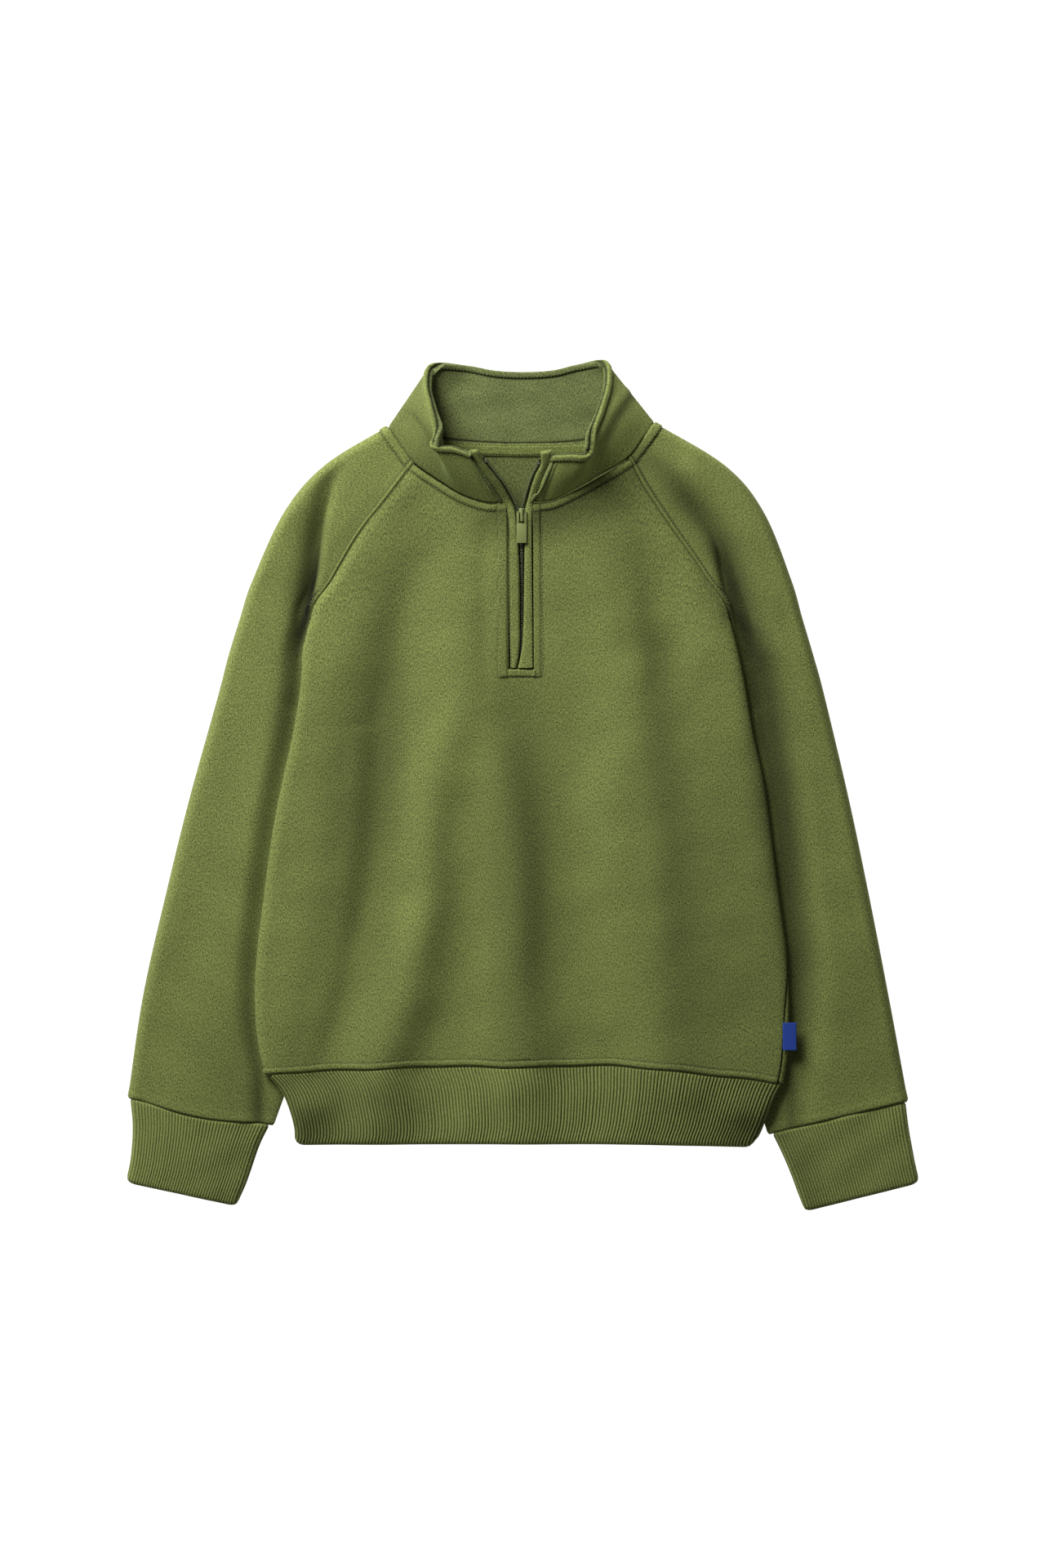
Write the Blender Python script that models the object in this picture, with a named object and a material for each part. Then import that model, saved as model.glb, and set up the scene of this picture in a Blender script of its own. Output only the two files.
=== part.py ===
"""Child's quarter-zip sweatshirt with a stand collar, laid flat on its back.

+X is the wearer's left, +Y runs up to the collar and +Z faces up, away from the
surface it lies on. Tables and sizes are in millimetres; the meshes are in metres.
Every cloth piece is a sheet of points at mid thickness that Solidify gives its wall.
"""

import math

import bmesh
import bpy
import numpy as np

MM = 0.001

# ---- driving dimensions (mm) ----
CLOTH = 2.0           # brushed sweatshirt jersey
RIB = 2.2             # rib of cuffs and hem band
GAP = 0.3             # between pieces at a seam
GROUND = 1.1          # mid height of a layer that lies on the surface
PRESSED = 5.0         # mid height of a sleeve's upper layer under the body
OVER_SLEEVE = 7.5     # mid height of the body's lower layer where it lies on a sleeve
ROLL_WIDTH = 7.0      # how far in from the body's edge its roll reaches
SLEEVE_ROLL = 6.0     # the same at a sleeve's outer fold
BODY_SIDE = 13.7      # mid height of the front where it lies over a sleeve
LAYER = CLOTH + GAP   # from mid layer to mid layer, face on face
VISIBLE_SEAM_END = 120.1   # y where the front starts to roll under beside the sleeve
ARMPIT = 42.3
ZIP_END = 83.5
SLOT = {-1: ((203.0, -13.8), (192.0, -9.7), (83.0, -9.3)),   # y, x of the zip opening
        1: ((203.0, 8.6), (192.0, 8.2), (83.0, 8.7))}
SEAM_LEAD = 0.7       # first step in from a seam
SEAM_INSET = 0.4      # each panel's share of the gap at a raglan seam, where both tilt
WELT = 2.8            # folded strip
TAPE = 1.0
PULL_WIDTH, PULL_LENGTH, PULL_THICK = 7.2, 22.6, 1.2
WINDOW_WIDTH, WINDOW_LENGTH = 3.4, 7.2
PIN_Y = 194.4         # the pull's pin, which is its hinge axis
LABEL_LENGTH, LABEL_WIDTH, LABEL_LEAF = 9.6, 19.6, 0.5
LABEL_Y = -177.4

# Sleeve sections from neck to wrist, x counted outwards from the middle.
# front: the raglan seam on the front, then the underarm; fold: the outer edge;
# back: the raglan seam on the back, then the underarm; crown: height of the upper
# layer; pressed: share of the upper layer's width that the body holds down.
SLEEVE_COLUMNS = ("front_x", "front_y", "front_z", "fold_x", "fold_y",
                  "back_x", "back_y", "back_z", "crown", "pressed")
SLEEVE_RIGHT = (
    (76.0, 229.4, 12.5, 95.4, 256.4, 73.7, 244.8, 1.1, 10.6, 0.00),   # neck
    (95.1, 204.2, 11.5, 140.4, 227.9, 83.0, 209.0, 1.1, 10.6, 0.00),
    (114.3, 179.8, 10.5, 168.5, 194.5, 93.0, 170.0, 1.1, 10.2, 0.00),
    (133.4, 147.9, 9.0, 191.0, 145.5, 104.0, 127.0, 1.1, 9.8, 0.00),
    (149.1, 120.1, 7.2, 199.4, 120.0, 111.5, 98.0, 1.1, 9.4, 0.00),   # visible seam end
    (137.5, 77.1, 5.2, 208.0, 92.0, 119.5, 67.0, 1.1, 9.2, 0.25),
    (125.9, 42.3, 3.7, 215.0, 65.0, 125.9, 42.3, 2.3, 9.0, 0.38),     # armpit
    (128.5, -25.0, 3.7, 235.1, -7.0, 128.5, -25.0, 2.3, 9.0, 0.42),
    (136.0, -90.0, 3.7, 251.0, -71.0, 136.0, -90.0, 2.3, 9.0, 0.42),
    (149.1, -160.1, 3.7, 268.5, -148.0, 149.1, -160.1, 2.3, 8.8, 0.32),
    (177.5, -241.3, 3.7, 279.6, -222.1, 177.5, -241.3, 2.3, 7.4, 0.00),  # wrist
)
SLEEVE_LEFT = (
    (74.8, 232.6, 12.5, 95.1, 259.3, 73.7, 247.1, 1.1, 10.6, 0.00),
    (87.5, 210.5, 11.5, 145.6, 227.9, 83.0, 210.0, 1.1, 10.6, 0.00),
    (105.6, 183.6, 10.5, 172.0, 194.5, 93.0, 170.0, 1.1, 10.2, 0.00),
    (128.0, 152.0, 9.0, 191.0, 146.5, 104.0, 127.0, 1.1, 9.8, 0.00),
    (146.7, 120.1, 7.2, 198.7, 120.0, 111.5, 98.0, 1.1, 9.4, 0.00),
    (137.5, 77.1, 5.2, 207.0, 92.0, 119.5, 67.0, 1.1, 9.2, 0.25),
    (125.9, 42.3, 3.7, 214.4, 65.0, 125.9, 42.3, 2.3, 9.0, 0.38),
    (128.5, -25.0, 3.7, 231.5, -7.0, 128.5, -25.0, 2.3, 9.0, 0.42),
    (136.0, -90.0, 3.7, 245.0, -71.0, 136.0, -90.0, 2.3, 9.0, 0.42),
    (149.1, -163.0, 3.7, 260.5, -150.0, 149.1, -163.0, 2.3, 8.8, 0.32),
    (176.3, -247.7, 3.7, 274.3, -224.5, 176.3, -247.7, 2.3, 7.4, 0.00),
)
SLEEVES = {-1: SLEEVE_RIGHT, 1: SLEEVE_LEFT}
WRIST_SAG = {-1: 4.5, 1: 0.0}
ARMPIT_STATION = 6.0

# Body sections from the neck down: height along the sides, height along the middle,
# half width to each edge, and how far each side seam lies under that edge
# (negative: up on the front). Above ARMPIT the sides are the raglan seams.
BODY_COLUMNS = ("y", "mid_y", "edge_right", "under_right", "edge_left", "under_left")
BODY = (
    (120.1, 115.0, 149.1, 0.0, 146.7, 0.0),
    (106.0, 103.0, 152.5, 0.0, 150.6, 0.0),
    (94.5, 92.5, 154.7, 0.0, 153.1, 0.0),
    (83.2, 83.2, 156.4, 0.0, 155.6, 0.0),
    (65.5, 65.5, 158.6, 0.0, 158.9, 0.0),
    (42.3, 42.3, 162.0, 36.1, 162.6, 36.7),
    (24.0, 24.0, 165.2, 32.0, 166.6, 32.0),
    (7.5, 7.5, 168.2, 28.0, 170.3, 28.0),
    (-21.5, -21.5, 174.0, 21.0, 174.8, 20.0),
    (-50.5, -50.5, 178.6, 15.0, 178.4, 12.0),
    (-79.5, -79.5, 182.3, 10.0, 182.1, 6.0),
    (-108.5, -108.5, 186.0, 6.0, 186.2, 2.0),
    (-123.0, -123.0, 187.3, 5.0, 187.5, 0.3),
    (-137.5, -137.5, 188.4, 4.0, 188.5, -0.8),
    (-166.5, -166.5, 187.9, 3.0, 189.0, -3.4),
    (-187.0, -184.0, 185.2, 3.0, 187.8, -3.5),
    (-205.0, -199.5, 181.0, 3.0, 184.6, -3.5),
)
HEM_DROP = {-1: 0.0, 1: 6.5}   # extra drop of the hem seam's end on each side
SHOULDER_ROWS = ((229.4, 201.2), (212.0, 187.0), (195.0, 173.0), (177.0, 159.0),
                 (158.0, 143.0), (139.0, 129.0))   # y at the raglan seam, y in the middle
MID_HEIGHT = ((260.0, 13.4), (201.0, 13.2), (168.0, 12.5), (120.0, 9.4), (83.0, 7.8),
              (40.0, 5.9), (-205.0, 5.9))          # y, mid height of the front's middle

# Soft folds of the front: a ridge from its top end to its bottom end.
FOLD_COLUMNS = ("x_top", "y_top", "x_low", "y_low", "height", "half_width", "fade")
FOLDS = (
    (-46.0, 118.0, -101.0, -195.0, 3.4, 15.0, 45.0),
    (-24.0, 30.0, -8.0, -195.0, 2.4, 14.0, 40.0),
    (74.0, 150.0, 91.0, -195.0, 2.8, 17.0, 50.0),
)

# Collar sections from the wearer's right zip edge, round the back, to the left one.
COLLAR_COLUMNS = ("neck_x", "neck_y", "neck_z", "rim_x", "rim_y", "rim_z", "swell")
COLLAR = (
    (-13.3, 202.4, 13.5, -36.0, 236.1, 33.0, 1.0),
    (-24.0, 201.6, 13.5, -47.0, 240.1, 36.0, 1.5),
    (-41.2, 207.1, 13.5, -58.2, 243.8, 40.0, 2.0),    # front corner
    (-56.3, 215.8, 13.2, -60.8, 253.5, 38.0, 2.5),
    (-76.0, 229.4, 12.5, -60.0, 267.5, 31.0, 2.5),
    (-87.5, 244.5, 11.0, -64.4, 285.9, 21.0, 1.5),
    (-93.5, 255.4, 6.2, -62.5, 298.5, 11.0, 0.0),     # side fold
    (-74.0, 246.6, 1.3, -37.4, 297.8, 3.8, 0.0),
    (-38.0, 241.6, 1.3, -20.0, 296.0, 3.4, 0.0),
    (0.0, 239.8, 1.3, 0.0, 295.0, 3.2, 0.0),          # back middle
    (38.0, 241.6, 1.3, 22.0, 296.0, 3.4, 0.0),
    (74.0, 248.6, 1.3, 42.0, 299.0, 3.8, 0.0),
    (93.2, 258.3, 6.2, 60.5, 300.5, 11.0, 0.0),       # side fold
    (86.5, 247.0, 11.0, 60.0, 284.0, 21.0, 1.5),
    (74.8, 232.6, 12.5, 53.0, 262.0, 31.0, 2.5),
    (54.5, 220.4, 13.2, 48.8, 250.5, 37.0, 2.5),
    (38.0, 211.0, 13.5, 44.5, 241.2, 38.0, 2.0),      # front corner
    (22.0, 203.4, 13.5, 31.5, 238.6, 35.0, 1.5),
    (8.1, 201.8, 13.5, 20.3, 236.1, 32.0, 1.0),
)
COLLAR_START = 1.1    # from the neck seam to the collar's lower edge

# Welts: their outer edge (at the collar and front) and their edge beside the zip.
WELT_COLUMNS = ("out_x", "out_y", "in_x", "in_y")
WELT_RIGHT = (
    (-35.7, 236.6, -31.0, 237.0),
    (-28.6, 226.0, -24.0, 228.0),
    (-21.6, 215.6, -16.2, 218.0),
    (-12.9, 202.6, -8.6, 206.0),
    (-8.9, 192.6, -4.2, 195.0),
    (-8.6, 174.6, -2.7, 175.0),
    (-8.6, 152.5, -1.4, 152.5),
    (-8.6, 84.2, -0.9, 84.2),
)
WELT_LEFT = (
    (20.5, 237.0, 14.6, 236.0),
    (16.6, 226.0, 12.6, 227.0),
    (12.8, 215.6, 8.0, 216.5),
    (8.0, 202.6, 4.4, 204.0),
    (7.6, 192.6, 2.6, 195.0),
    (7.6, 174.6, 2.1, 175.0),
    (7.8, 152.5, 1.8, 152.5),
    (8.2, 84.2, 1.3, 84.2),
)
WELT_RISE = ((236.0, 33.0), (202.4, 13.8))   # y, height up the collar's front edge

# Cuff sections from the sleeve down: outer edge and inner edge, x outwards.
CUFF_COLUMNS = ("outer_x", "outer_y", "inner_x", "inner_y")
CUFFS = {
    -1: ((277.2, -222.6, 181.0, -241.0), (275.6, -241.0, 186.6, -255.5),
         (276.6, -261.0, 193.4, -277.0), (279.8, -281.0, 201.9, -298.6)),
    1: ((272.0, -225.4, 180.0, -247.0), (274.2, -243.0, 187.2, -262.0),
        (277.4, -261.0, 194.6, -280.0), (281.2, -280.8, 202.0, -301.6)),
}
# Hem band sections from the hem seam down: half widths, drop of each end below mid_y.
HEM_COLUMNS = ("mid_y", "right_x", "right_y", "left_x", "left_y", "lift")
HEM = (
    (-199.5, 173.5, -205.0, 183.0, -211.5, 1.0),
    (-213.0, 169.4, -217.0, 178.6, -221.0, 1.0),
    (-227.0, 165.4, -230.0, 173.4, -233.0, 0.75),
    (-241.0, 161.8, -243.0, 169.4, -244.0, 0.0),
    (-254.4, 161.2, -254.8, 163.6, -256.4, 0.0),
)
RIB_TOP = 6.8         # mid height of a rib band's upper layer

GREEN = (0.100, 0.125, 0.034)
MATERIALS = {
    "jersey": (GREEN, 0.95, 0.0),
    "rib": ((0.090, 0.112, 0.030), 0.95, 0.0),
    "tape": ((0.050, 0.064, 0.022), 0.85, 0.0),
    "pull": ((0.165, 0.195, 0.060), 0.42, 0.0),
    "metal": ((0.36, 0.37, 0.33), 0.35, 1.0),
    "label": ((0.030, 0.065, 0.360), 0.7, 0.0),
}


# ---- small helpers ----
def smooth(t):
    t = np.clip(t, 0.0, 1.0)
    return t * t * (3 - 2 * t)


def curve(rows, station):
    """Row values at a fractional row number, by a Catmull-Rom curve through the rows."""
    rows = np.asarray(rows, float)
    last = len(rows) - 1
    i = int(min(max(math.floor(station), 0), last - 1))
    t = station - i
    p1, p2 = rows[i], rows[i + 1]
    p0 = rows[i - 1] if i > 0 else 2 * p1 - p2
    p3 = rows[i + 2] if i + 2 <= last else 2 * p2 - p1
    return 0.5 * (2 * p1 + (p2 - p0) * t + (2 * p0 - 5 * p1 + 4 * p2 - p3) * t ** 2
                  + (3 * p1 - p0 - 3 * p2 + p3) * t ** 3)


def table(rows, y, column, key=0):
    """A column at height y, straight between rows that run down in y."""
    rows = np.asarray(rows, float)
    return float(np.interp(-y, -rows[:, key], rows[:, column]))


def resample(points, count, lead=0.0, first=()):
    """The path as count + 1 points, equally far apart along it. A lead puts one point
    that near the start, so that the wall ends square to the seam, and first lists the
    distances of the points that follow it."""
    points = np.asarray(points, float)
    steps = np.linalg.norm(np.diff(points, axis=0), axis=1)
    along = np.concatenate([[0], np.cumsum(steps)])
    want = np.linspace(0, along[-1], count + 1)
    if lead:
        start = [0, lead, *first]
        rest = np.linspace(start[-1], along[-1], count + 2 - len(start))
        want = np.concatenate([start, rest[1:]])
    return np.stack([np.interp(want, along, points[:, k]) for k in range(3)], axis=1)


def material(name):
    found = bpy.data.materials.get(name)
    if found:
        return found
    color, roughness, metallic = MATERIALS[name]
    made = bpy.data.materials.new(name)
    made.use_nodes = True
    shader = made.node_tree.nodes["Principled BSDF"]
    shader.inputs["Base Color"].default_value = (*color, 1.0)
    shader.inputs["Roughness"].default_value = roughness
    shader.inputs["Metallic"].default_value = metallic
    return made


def sheet(name, grid, thickness, slot, ring=False, skip=None):
    """An object from a grid of mid points, given its thickness by Solidify."""
    grid = np.asarray(grid, float)
    rows, cols = grid.shape[:2]
    bm = bmesh.new()
    verts = [[bm.verts.new(Vector3(p)) for p in row] for row in grid]
    for i in range(rows - 1):
        for j in range(cols if ring else cols - 1):
            if skip and skip(i, j):
                continue
            k = (j + 1) % cols
            bm.faces.new((verts[i][j], verts[i][k], verts[i + 1][k], verts[i + 1][j]))
    loose = [v for v in bm.verts if not v.link_faces]
    bmesh.ops.delete(bm, geom=loose, context="VERTS")
    mesh = bpy.data.meshes.new(name)
    bm.to_mesh(mesh)
    bm.free()
    obj = bpy.data.objects.new(name, mesh)
    bpy.context.scene.collection.objects.link(obj)
    mesh.materials.append(material(slot))
    wall = obj.modifiers.new("Wall", "SOLIDIFY")
    wall.thickness = thickness * MM
    wall.offset = 0.0
    return obj


def Vector3(p):
    return (p[0] * MM, p[1] * MM, p[2] * MM)


def box(name, size, centre, slot, bevel=0.0, parent=None):
    bpy.ops.mesh.primitive_cube_add(size=1.0, location=Vector3(centre))
    obj = bpy.context.object
    obj.name = name
    obj.data.name = name
    for v in obj.data.vertices:
        v.co = [v.co[k] * size[k] * MM for k in range(3)]
    obj.data.materials.append(material(slot))
    if bevel:
        edge = obj.modifiers.new("Edge", "BEVEL")
        edge.width = bevel * MM
        edge.segments = 2
    return obj


# ---- where the seams and surfaces run ----
def dense_seam(side):
    """The front raglan seam from neck to armpit as x, y, z rows running down in y."""
    rows = [curve(SLEEVES[side], s)[:3] for s in np.linspace(0, ARMPIT_STATION, 121)]
    return np.array(rows)


def dense_underarm(side):
    rows = [curve(SLEEVES[side], s)[:3] for s in np.linspace(ARMPIT_STATION, 10, 81)]
    return np.array(rows)


SEAM = {side: dense_seam(side) for side in (-1, 1)}
UNDERARM = {side: dense_underarm(side) for side in (-1, 1)}


def inner_edge(side, y):
    """How far out the sleeve's inner edge lies at y, below the armpit."""
    return table(UNDERARM[side], y, 0, key=1)


def body_edge(side, y):
    if y >= VISIBLE_SEAM_END:
        return table(SEAM[side], y, 0, key=1)
    return table(BODY, y, 2 if side < 0 else 4)


def under(side, y):
    """Distance of the front's side edge in from the body's edge, on the underside."""
    if y >= VISIBLE_SEAM_END:
        return 0.0
    if y >= ARMPIT:
        return body_edge(side, y) - table(SEAM[side], y, 0, key=1)
    return table(BODY, y, 3 if side < 0 else 5)


def back_height(x, y):
    """Mid height of the back panel: on the ground, and over the sleeves at the sides."""
    side = -1 if x < 0 else 1
    reach = inner_edge(side, min(y, ARMPIT))
    return GROUND + (OVER_SLEEVE - GROUND) * smooth((abs(x) - reach + 26) / 22) * smooth(
        (ARMPIT + 8 - y) / 12)


def fold_height(x, y):
    total = 0.0
    for row in FOLDS:
        fold = dict(zip(FOLD_COLUMNS, row))
        t = (fold["y_top"] - y) / (fold["y_top"] - fold["y_low"])
        line = fold["x_top"] + (fold["x_low"] - fold["x_top"]) * t
        fade = smooth((fold["y_top"] + fold["fade"] / 2 - y) / fold["fade"])
        total += fold["height"] * fade * math.exp(-((x - line) / fold["half_width"]) ** 2)
    return total


def front_height(x, y):
    """Mid height of the front panel, without the roll at its edges."""
    side = -1 if x < 0 else 1
    middle = table(MID_HEIGHT, y, 1) + fold_height(x, y)
    edge = BODY_SIDE
    if y > 100:
        edge = float(np.interp(y, (100, 125, 150, 180, 230), (13.7, 12.4, 11.6, 12, 13.5)))
    start = inner_edge(side, y) - 30 if y < ARMPIT else table(
        ((232, 45), (150, 78), (ARMPIT, 96)), y, 1)
    height = middle + (edge - middle) * smooth((abs(x) - start) / 30)
    return max(height, back_height(x, y) + LAYER + 0.4)


def seam_height(side, y):
    """Mid height of the front's raglan edge, lifted onto the sleeve's as it rolls under."""
    lap = (LAYER + 0.35) * smooth((VISIBLE_SEAM_END + 22 - y) / 20)
    return table(SEAM[side], y, 2, key=1) + lap


def lower_height(side, y):
    """Mid height of the body's lower layer near its edge."""
    if y < ARMPIT:
        return OVER_SLEEVE
    start = seam_height(side, y)
    return start + (OVER_SLEEVE - start) * smooth((85 - y) / 30)


def roll_point(side, y, q):
    """A point of the body's rolled edge; q is the distance in from the edge,
    positive on the underside and negative on the front."""
    edge = body_edge(side, y)
    x = side * (edge - abs(q))
    low = lower_height(side, y)
    rolled = smooth((VISIBLE_SEAM_END - y) / 9)
    top = front_height(side * (edge - ROLL_WIDTH), y)
    centre = low + rolled * (top - low) * 0.45
    share = min(abs(q) / ROLL_WIDTH, 1.0)
    arc = math.sqrt(max(0.0, 1 - (1 - share) ** 2))
    if q >= 0:
        return x, y, centre + (low - centre) * arc
    reach = front_height(x, y) if share >= 1 else top
    ease = rolled * arc + (1 - rolled) * float(smooth(share * 0.5 + 0.5) * 2 - 1)
    return x, y, centre + (reach - centre) * ease


def roll(side, y, start, end):
    """Points round the body's edge from its seam, q = start, to q = end on the front.
    Point UNDER_STEPS is the edge itself, or 3 mm in from a seam that lies there."""
    near = ROLL_WIDTH * (1 - np.cos(np.linspace(0, math.pi / 2, 40)))
    every = np.concatenate([np.linspace(46, ROLL_WIDTH, 40), near[::-1], -near[1:],
                            [-ROLL_WIDTH - 3]])
    inside = every[(every < start - 1e-6) & (every > end + 1e-6)]
    qs = np.concatenate([[start], inside, [end]])
    path = np.array([roll_point(side, y, q) for q in qs])
    steps = np.linalg.norm(np.diff(path, axis=0), axis=1)
    along = np.concatenate([[0], np.cumsum(steps)])
    split = max(float(np.interp(0, -qs, along)), 3.0) if start > 0 else 3.0
    cut = int(np.argmin(abs(along - split)))
    return np.concatenate([resample(path[:cut + 1], UNDER_STEPS, SEAM_LEAD),
                           resample(path[cut:], SIDE_STEPS - UNDER_STEPS)[1:]])


def droop(side, y):
    """How much lower the body's sections end than they start, near the hem."""
    return HEM_DROP[side] * smooth((-y - 150) / 55)


def bow(x, mid_y, side_y, edge):
    """Height along a body section that runs from mid_y in the middle to side_y."""
    share = np.clip((abs(x) / edge - 0.25) / 0.75, 0, 1)
    return mid_y + (side_y - mid_y) * share ** 1.6


def neck_line(x, front):
    """y of the neck seam, on the front or on the back."""
    spans = ((4, 0), (18, 14)) if front else ((6.6, 11.4),)
    for start, end in spans:
        line = np.array([curve(COLLAR, s)[:2] for s in np.linspace(start, end, 40)])
        if not front or np.sign(line[0, 0]) == np.sign(x):
            line = line[np.argsort(line[:, 0])]
            return float(np.interp(x, line[:, 0], line[:, 1]))


# ---- the body panels ----
SIDE_STEPS, UNDER_STEPS, PANEL_STEPS = 8, 4, 6


def front_rows():
    rows = [(y, mid) for y, mid in SHOULDER_ROWS]
    return rows + [(row[0], row[1]) for row in BODY]


def front_grid():
    grid = []
    for y, mid_y in front_rows():
        row = []
        for side in (-1, 1):
            seam_y = y
            if y == SHOULDER_ROWS[0][0]:
                seam_y = SLEEVES[side][0][1]
            inset = SEAM_INSET if y > ARMPIT else GAP / 2
            path = roll(side, seam_y, under(side, seam_y) - inset, -ROLL_WIDTH - 3)
            edge = body_edge(side, seam_y)
            slot = table(SLOT[side], mid_y, 1)
            inner = []
            for x in np.linspace(path[-1, 0], slot, PANEL_STEPS + 1)[1:]:
                inner.append((x, seam_y, front_height(x, bow(x, mid_y, seam_y, edge))))
            half = np.array(list(path) + inner)
            half[:, 1] = [bow(x, mid_y, seam_y - droop(side, y), edge) for x in half[:, 0]]
            if y == SHOULDER_ROWS[0][0]:
                half[:, 1] = [neck_line(x, True) for x in half[:, 0]]
            half = list(half)
            row += half if side < 0 else half[::-1]
        grid.append(row)
    return np.array(grid)


def build_front():
    grid = front_grid()
    middle = SIDE_STEPS + PANEL_STEPS
    slot_rows = [i for i, (y, mid) in enumerate(front_rows()) if mid > ZIP_END - 0.5]
    grid[-1] += [0, GAP / 2, 0]
    sheet("front", grid, CLOTH, "jersey",
          skip=lambda i, j: j == middle and i < len(slot_rows) - 1)


def back_side(side, y):
    """x, y, z rows of the back panel's side, from its inner part out to its seam."""
    if y >= ARMPIT:
        key = table([r[5:8] for r in SLEEVES[side]][:7], y, 0, key=1)
        seam = key - SEAM_INSET - 0.5 * smooth((62 - y) / 18)
        z_seam = table([r[5:8] for r in SLEEVES[side]][:7], y, 2, key=1)
        points = [(side * x, y, max(back_height(side * x, y), GROUND + (z_seam - GROUND)
                                    * smooth((x - seam + 10) / 10)))
                  for x in np.linspace(seam - 40, seam, 81)]
    else:
        key = inner_edge(side, y)
        q = under(side, y) + GAP * 2
        edge = body_edge(side, y)
        near = ROLL_WIDTH * (1 - np.cos(np.linspace(math.pi / 2, 0, 20)))
        every = np.concatenate([np.linspace(edge - key + 40, ROLL_WIDTH + 0.1, 160), near,
                                -near[::-1][1:]])
        points = [(side * (edge - d), y, back_height(side * (edge - d), y))
                  if d > ROLL_WIDTH else roll_point(side, y, d) for d in every if d > q + 0.05]
        points.append((side * (edge - q), y, back_height(side * (edge - q), y))
                      if q > ROLL_WIDTH else roll_point(side, y, q))
    ramp = [p for p in points if key - 30 <= abs(p[0]) < key - (14 if y >= ARMPIT else 4)]
    close = points[points.index(ramp[-1]):]
    return np.concatenate([resample(ramp, 4),
                           resample(close[::-1], 6, SEAM_LEAD, (2.6, 5.2, 9.0))[::-1][1:]])


def build_back():
    grid = []
    heights = (245.0, 210, 170, 127, 98, 67, 52, 43.5, 38, 31, 20, 7.5, -21.5, -50.5,
               -79.5, -108.5, -123.0, -137.5, -166.5, -187.0, -205.0)
    for y in heights:
        row = []
        for side in (-1, 1):
            side_y = SLEEVES[side][0][6] - 0.5 if y == heights[0] else y
            path = back_side(side, side_y)
            mid_y = {heights[-1]: -199.5, heights[-2]: -184.0}.get(y, y)
            inner = [(x, y, back_height(x, y)) for x in np.linspace(path[0, 0], 0, 5)[1:]]
            half = np.array(inner[::-1] + list(path))
            edge = body_edge(side, min(y, 42))
            half[:, 1] = [bow(x, mid_y, side_y - droop(side, y), edge) for x in half[:, 0]]
            if y == heights[0]:
                half[:, 1] = [neck_line(x, False) - 0.3 for x in half[:, 0]]
            half = list(half)
            row += half[::-1] if side < 0 else half[1:]
        grid.append(row)
    grid = np.array(grid)
    grid[-1] += [0, GAP / 2, 0]
    sheet("back", grid[:, ::-1], CLOTH, "jersey")


# ---- sleeves, cuffs and hem band ----
SLEEVE_STATIONS = (0, 0.5, 1, 1.6, 2.2, 3, 3.6, 4, 4.4, 5, 5.5, 6, 6.5, 7, 7.6, 8.3, 9,
                   9.5, 10)


def sleeve_section(side, station):
    row = dict(zip(SLEEVE_COLUMNS, curve(SLEEVES[side], station)))
    front = np.array([row["front_x"], row["front_y"]])
    fold = np.array([row["fold_x"], row["fold_y"]])
    back = np.array([row["back_x"], row["back_y"]])
    tube = station >= ARMPIT_STATION
    if not tube:
        front += (fold - front) / np.linalg.norm(fold - front) * SEAM_INSET
        back += (fold - back) / np.linalg.norm(fold - back) * GAP / 2
    sag = WRIST_SAG[side] * smooth((station - 9) / 1.0)
    width = np.linalg.norm(fold - front)
    pressed = PRESSED if tube else min(row["front_z"], PRESSED + (ARMPIT_STATION - station))
    edge_z = row["crown"] * 0.42
    upper, lower = [], []
    for d in roll_spacing(width, tube):
        t = d / width
        point = front + (fold - front) * t
        level = pressed + (row["crown"] - pressed) * smooth((t - row["pressed"]) / 0.4)
        if row["front_z"] != pressed:
            level = row["front_z"] + (level - row["front_z"]) * arc_share(d / 5.0)
        z = edge_z + (level - edge_z) * arc_share((width - d) / SLEEVE_ROLL)
        upper.append((side * point[0], point[1] - sag * math.sin(math.pi * t) ** 1.5, z))
    width = np.linalg.norm(fold - back)
    for d in roll_spacing(width, tube)[::-1]:
        t = d / width
        point = back + (fold - back) * t
        level = GROUND + (row["back_z"] - GROUND) * (1 - arc_share(d / 5.0))
        z = edge_z + (level - edge_z) * arc_share((width - d) / SLEEVE_ROLL)
        lower.append((side * point[0], point[1] - sag * math.sin(math.pi * t) ** 1.5, z))
    return np.concatenate([resample(upper, 10, SEAM_LEAD), resample(lower, 7)[1:]])


def arc_share(t):
    t = min(max(t, 0.0), 1.0)
    return math.sqrt(1 - (1 - t) ** 2)


def roll_spacing(width, tube):
    ends = 1 - np.cos(np.linspace(0, math.pi / 2, 14))
    start = 5.0 * ends if tube else np.array([0.0, 2.0, 4.0, 5.0])
    end = width - SLEEVE_ROLL * ends[::-1]
    middle = np.linspace(5.0, width - SLEEVE_ROLL, 40)[1:-1]
    return np.concatenate([start, middle, end])


def build_sleeve(side):
    grid = np.array([sleeve_section(side, s) for s in SLEEVE_STATIONS])
    grid[-1] += [0, GAP / 2, 0]
    grid[0, :, :2] += (grid[1, :, :2] - grid[0, :, :2]) * 0.02
    name = "sleeve_right" if side < 0 else "sleeve_left"
    sheet(name, grid if side > 0 else grid[:, ::-1], CLOTH, "jersey")


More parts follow.
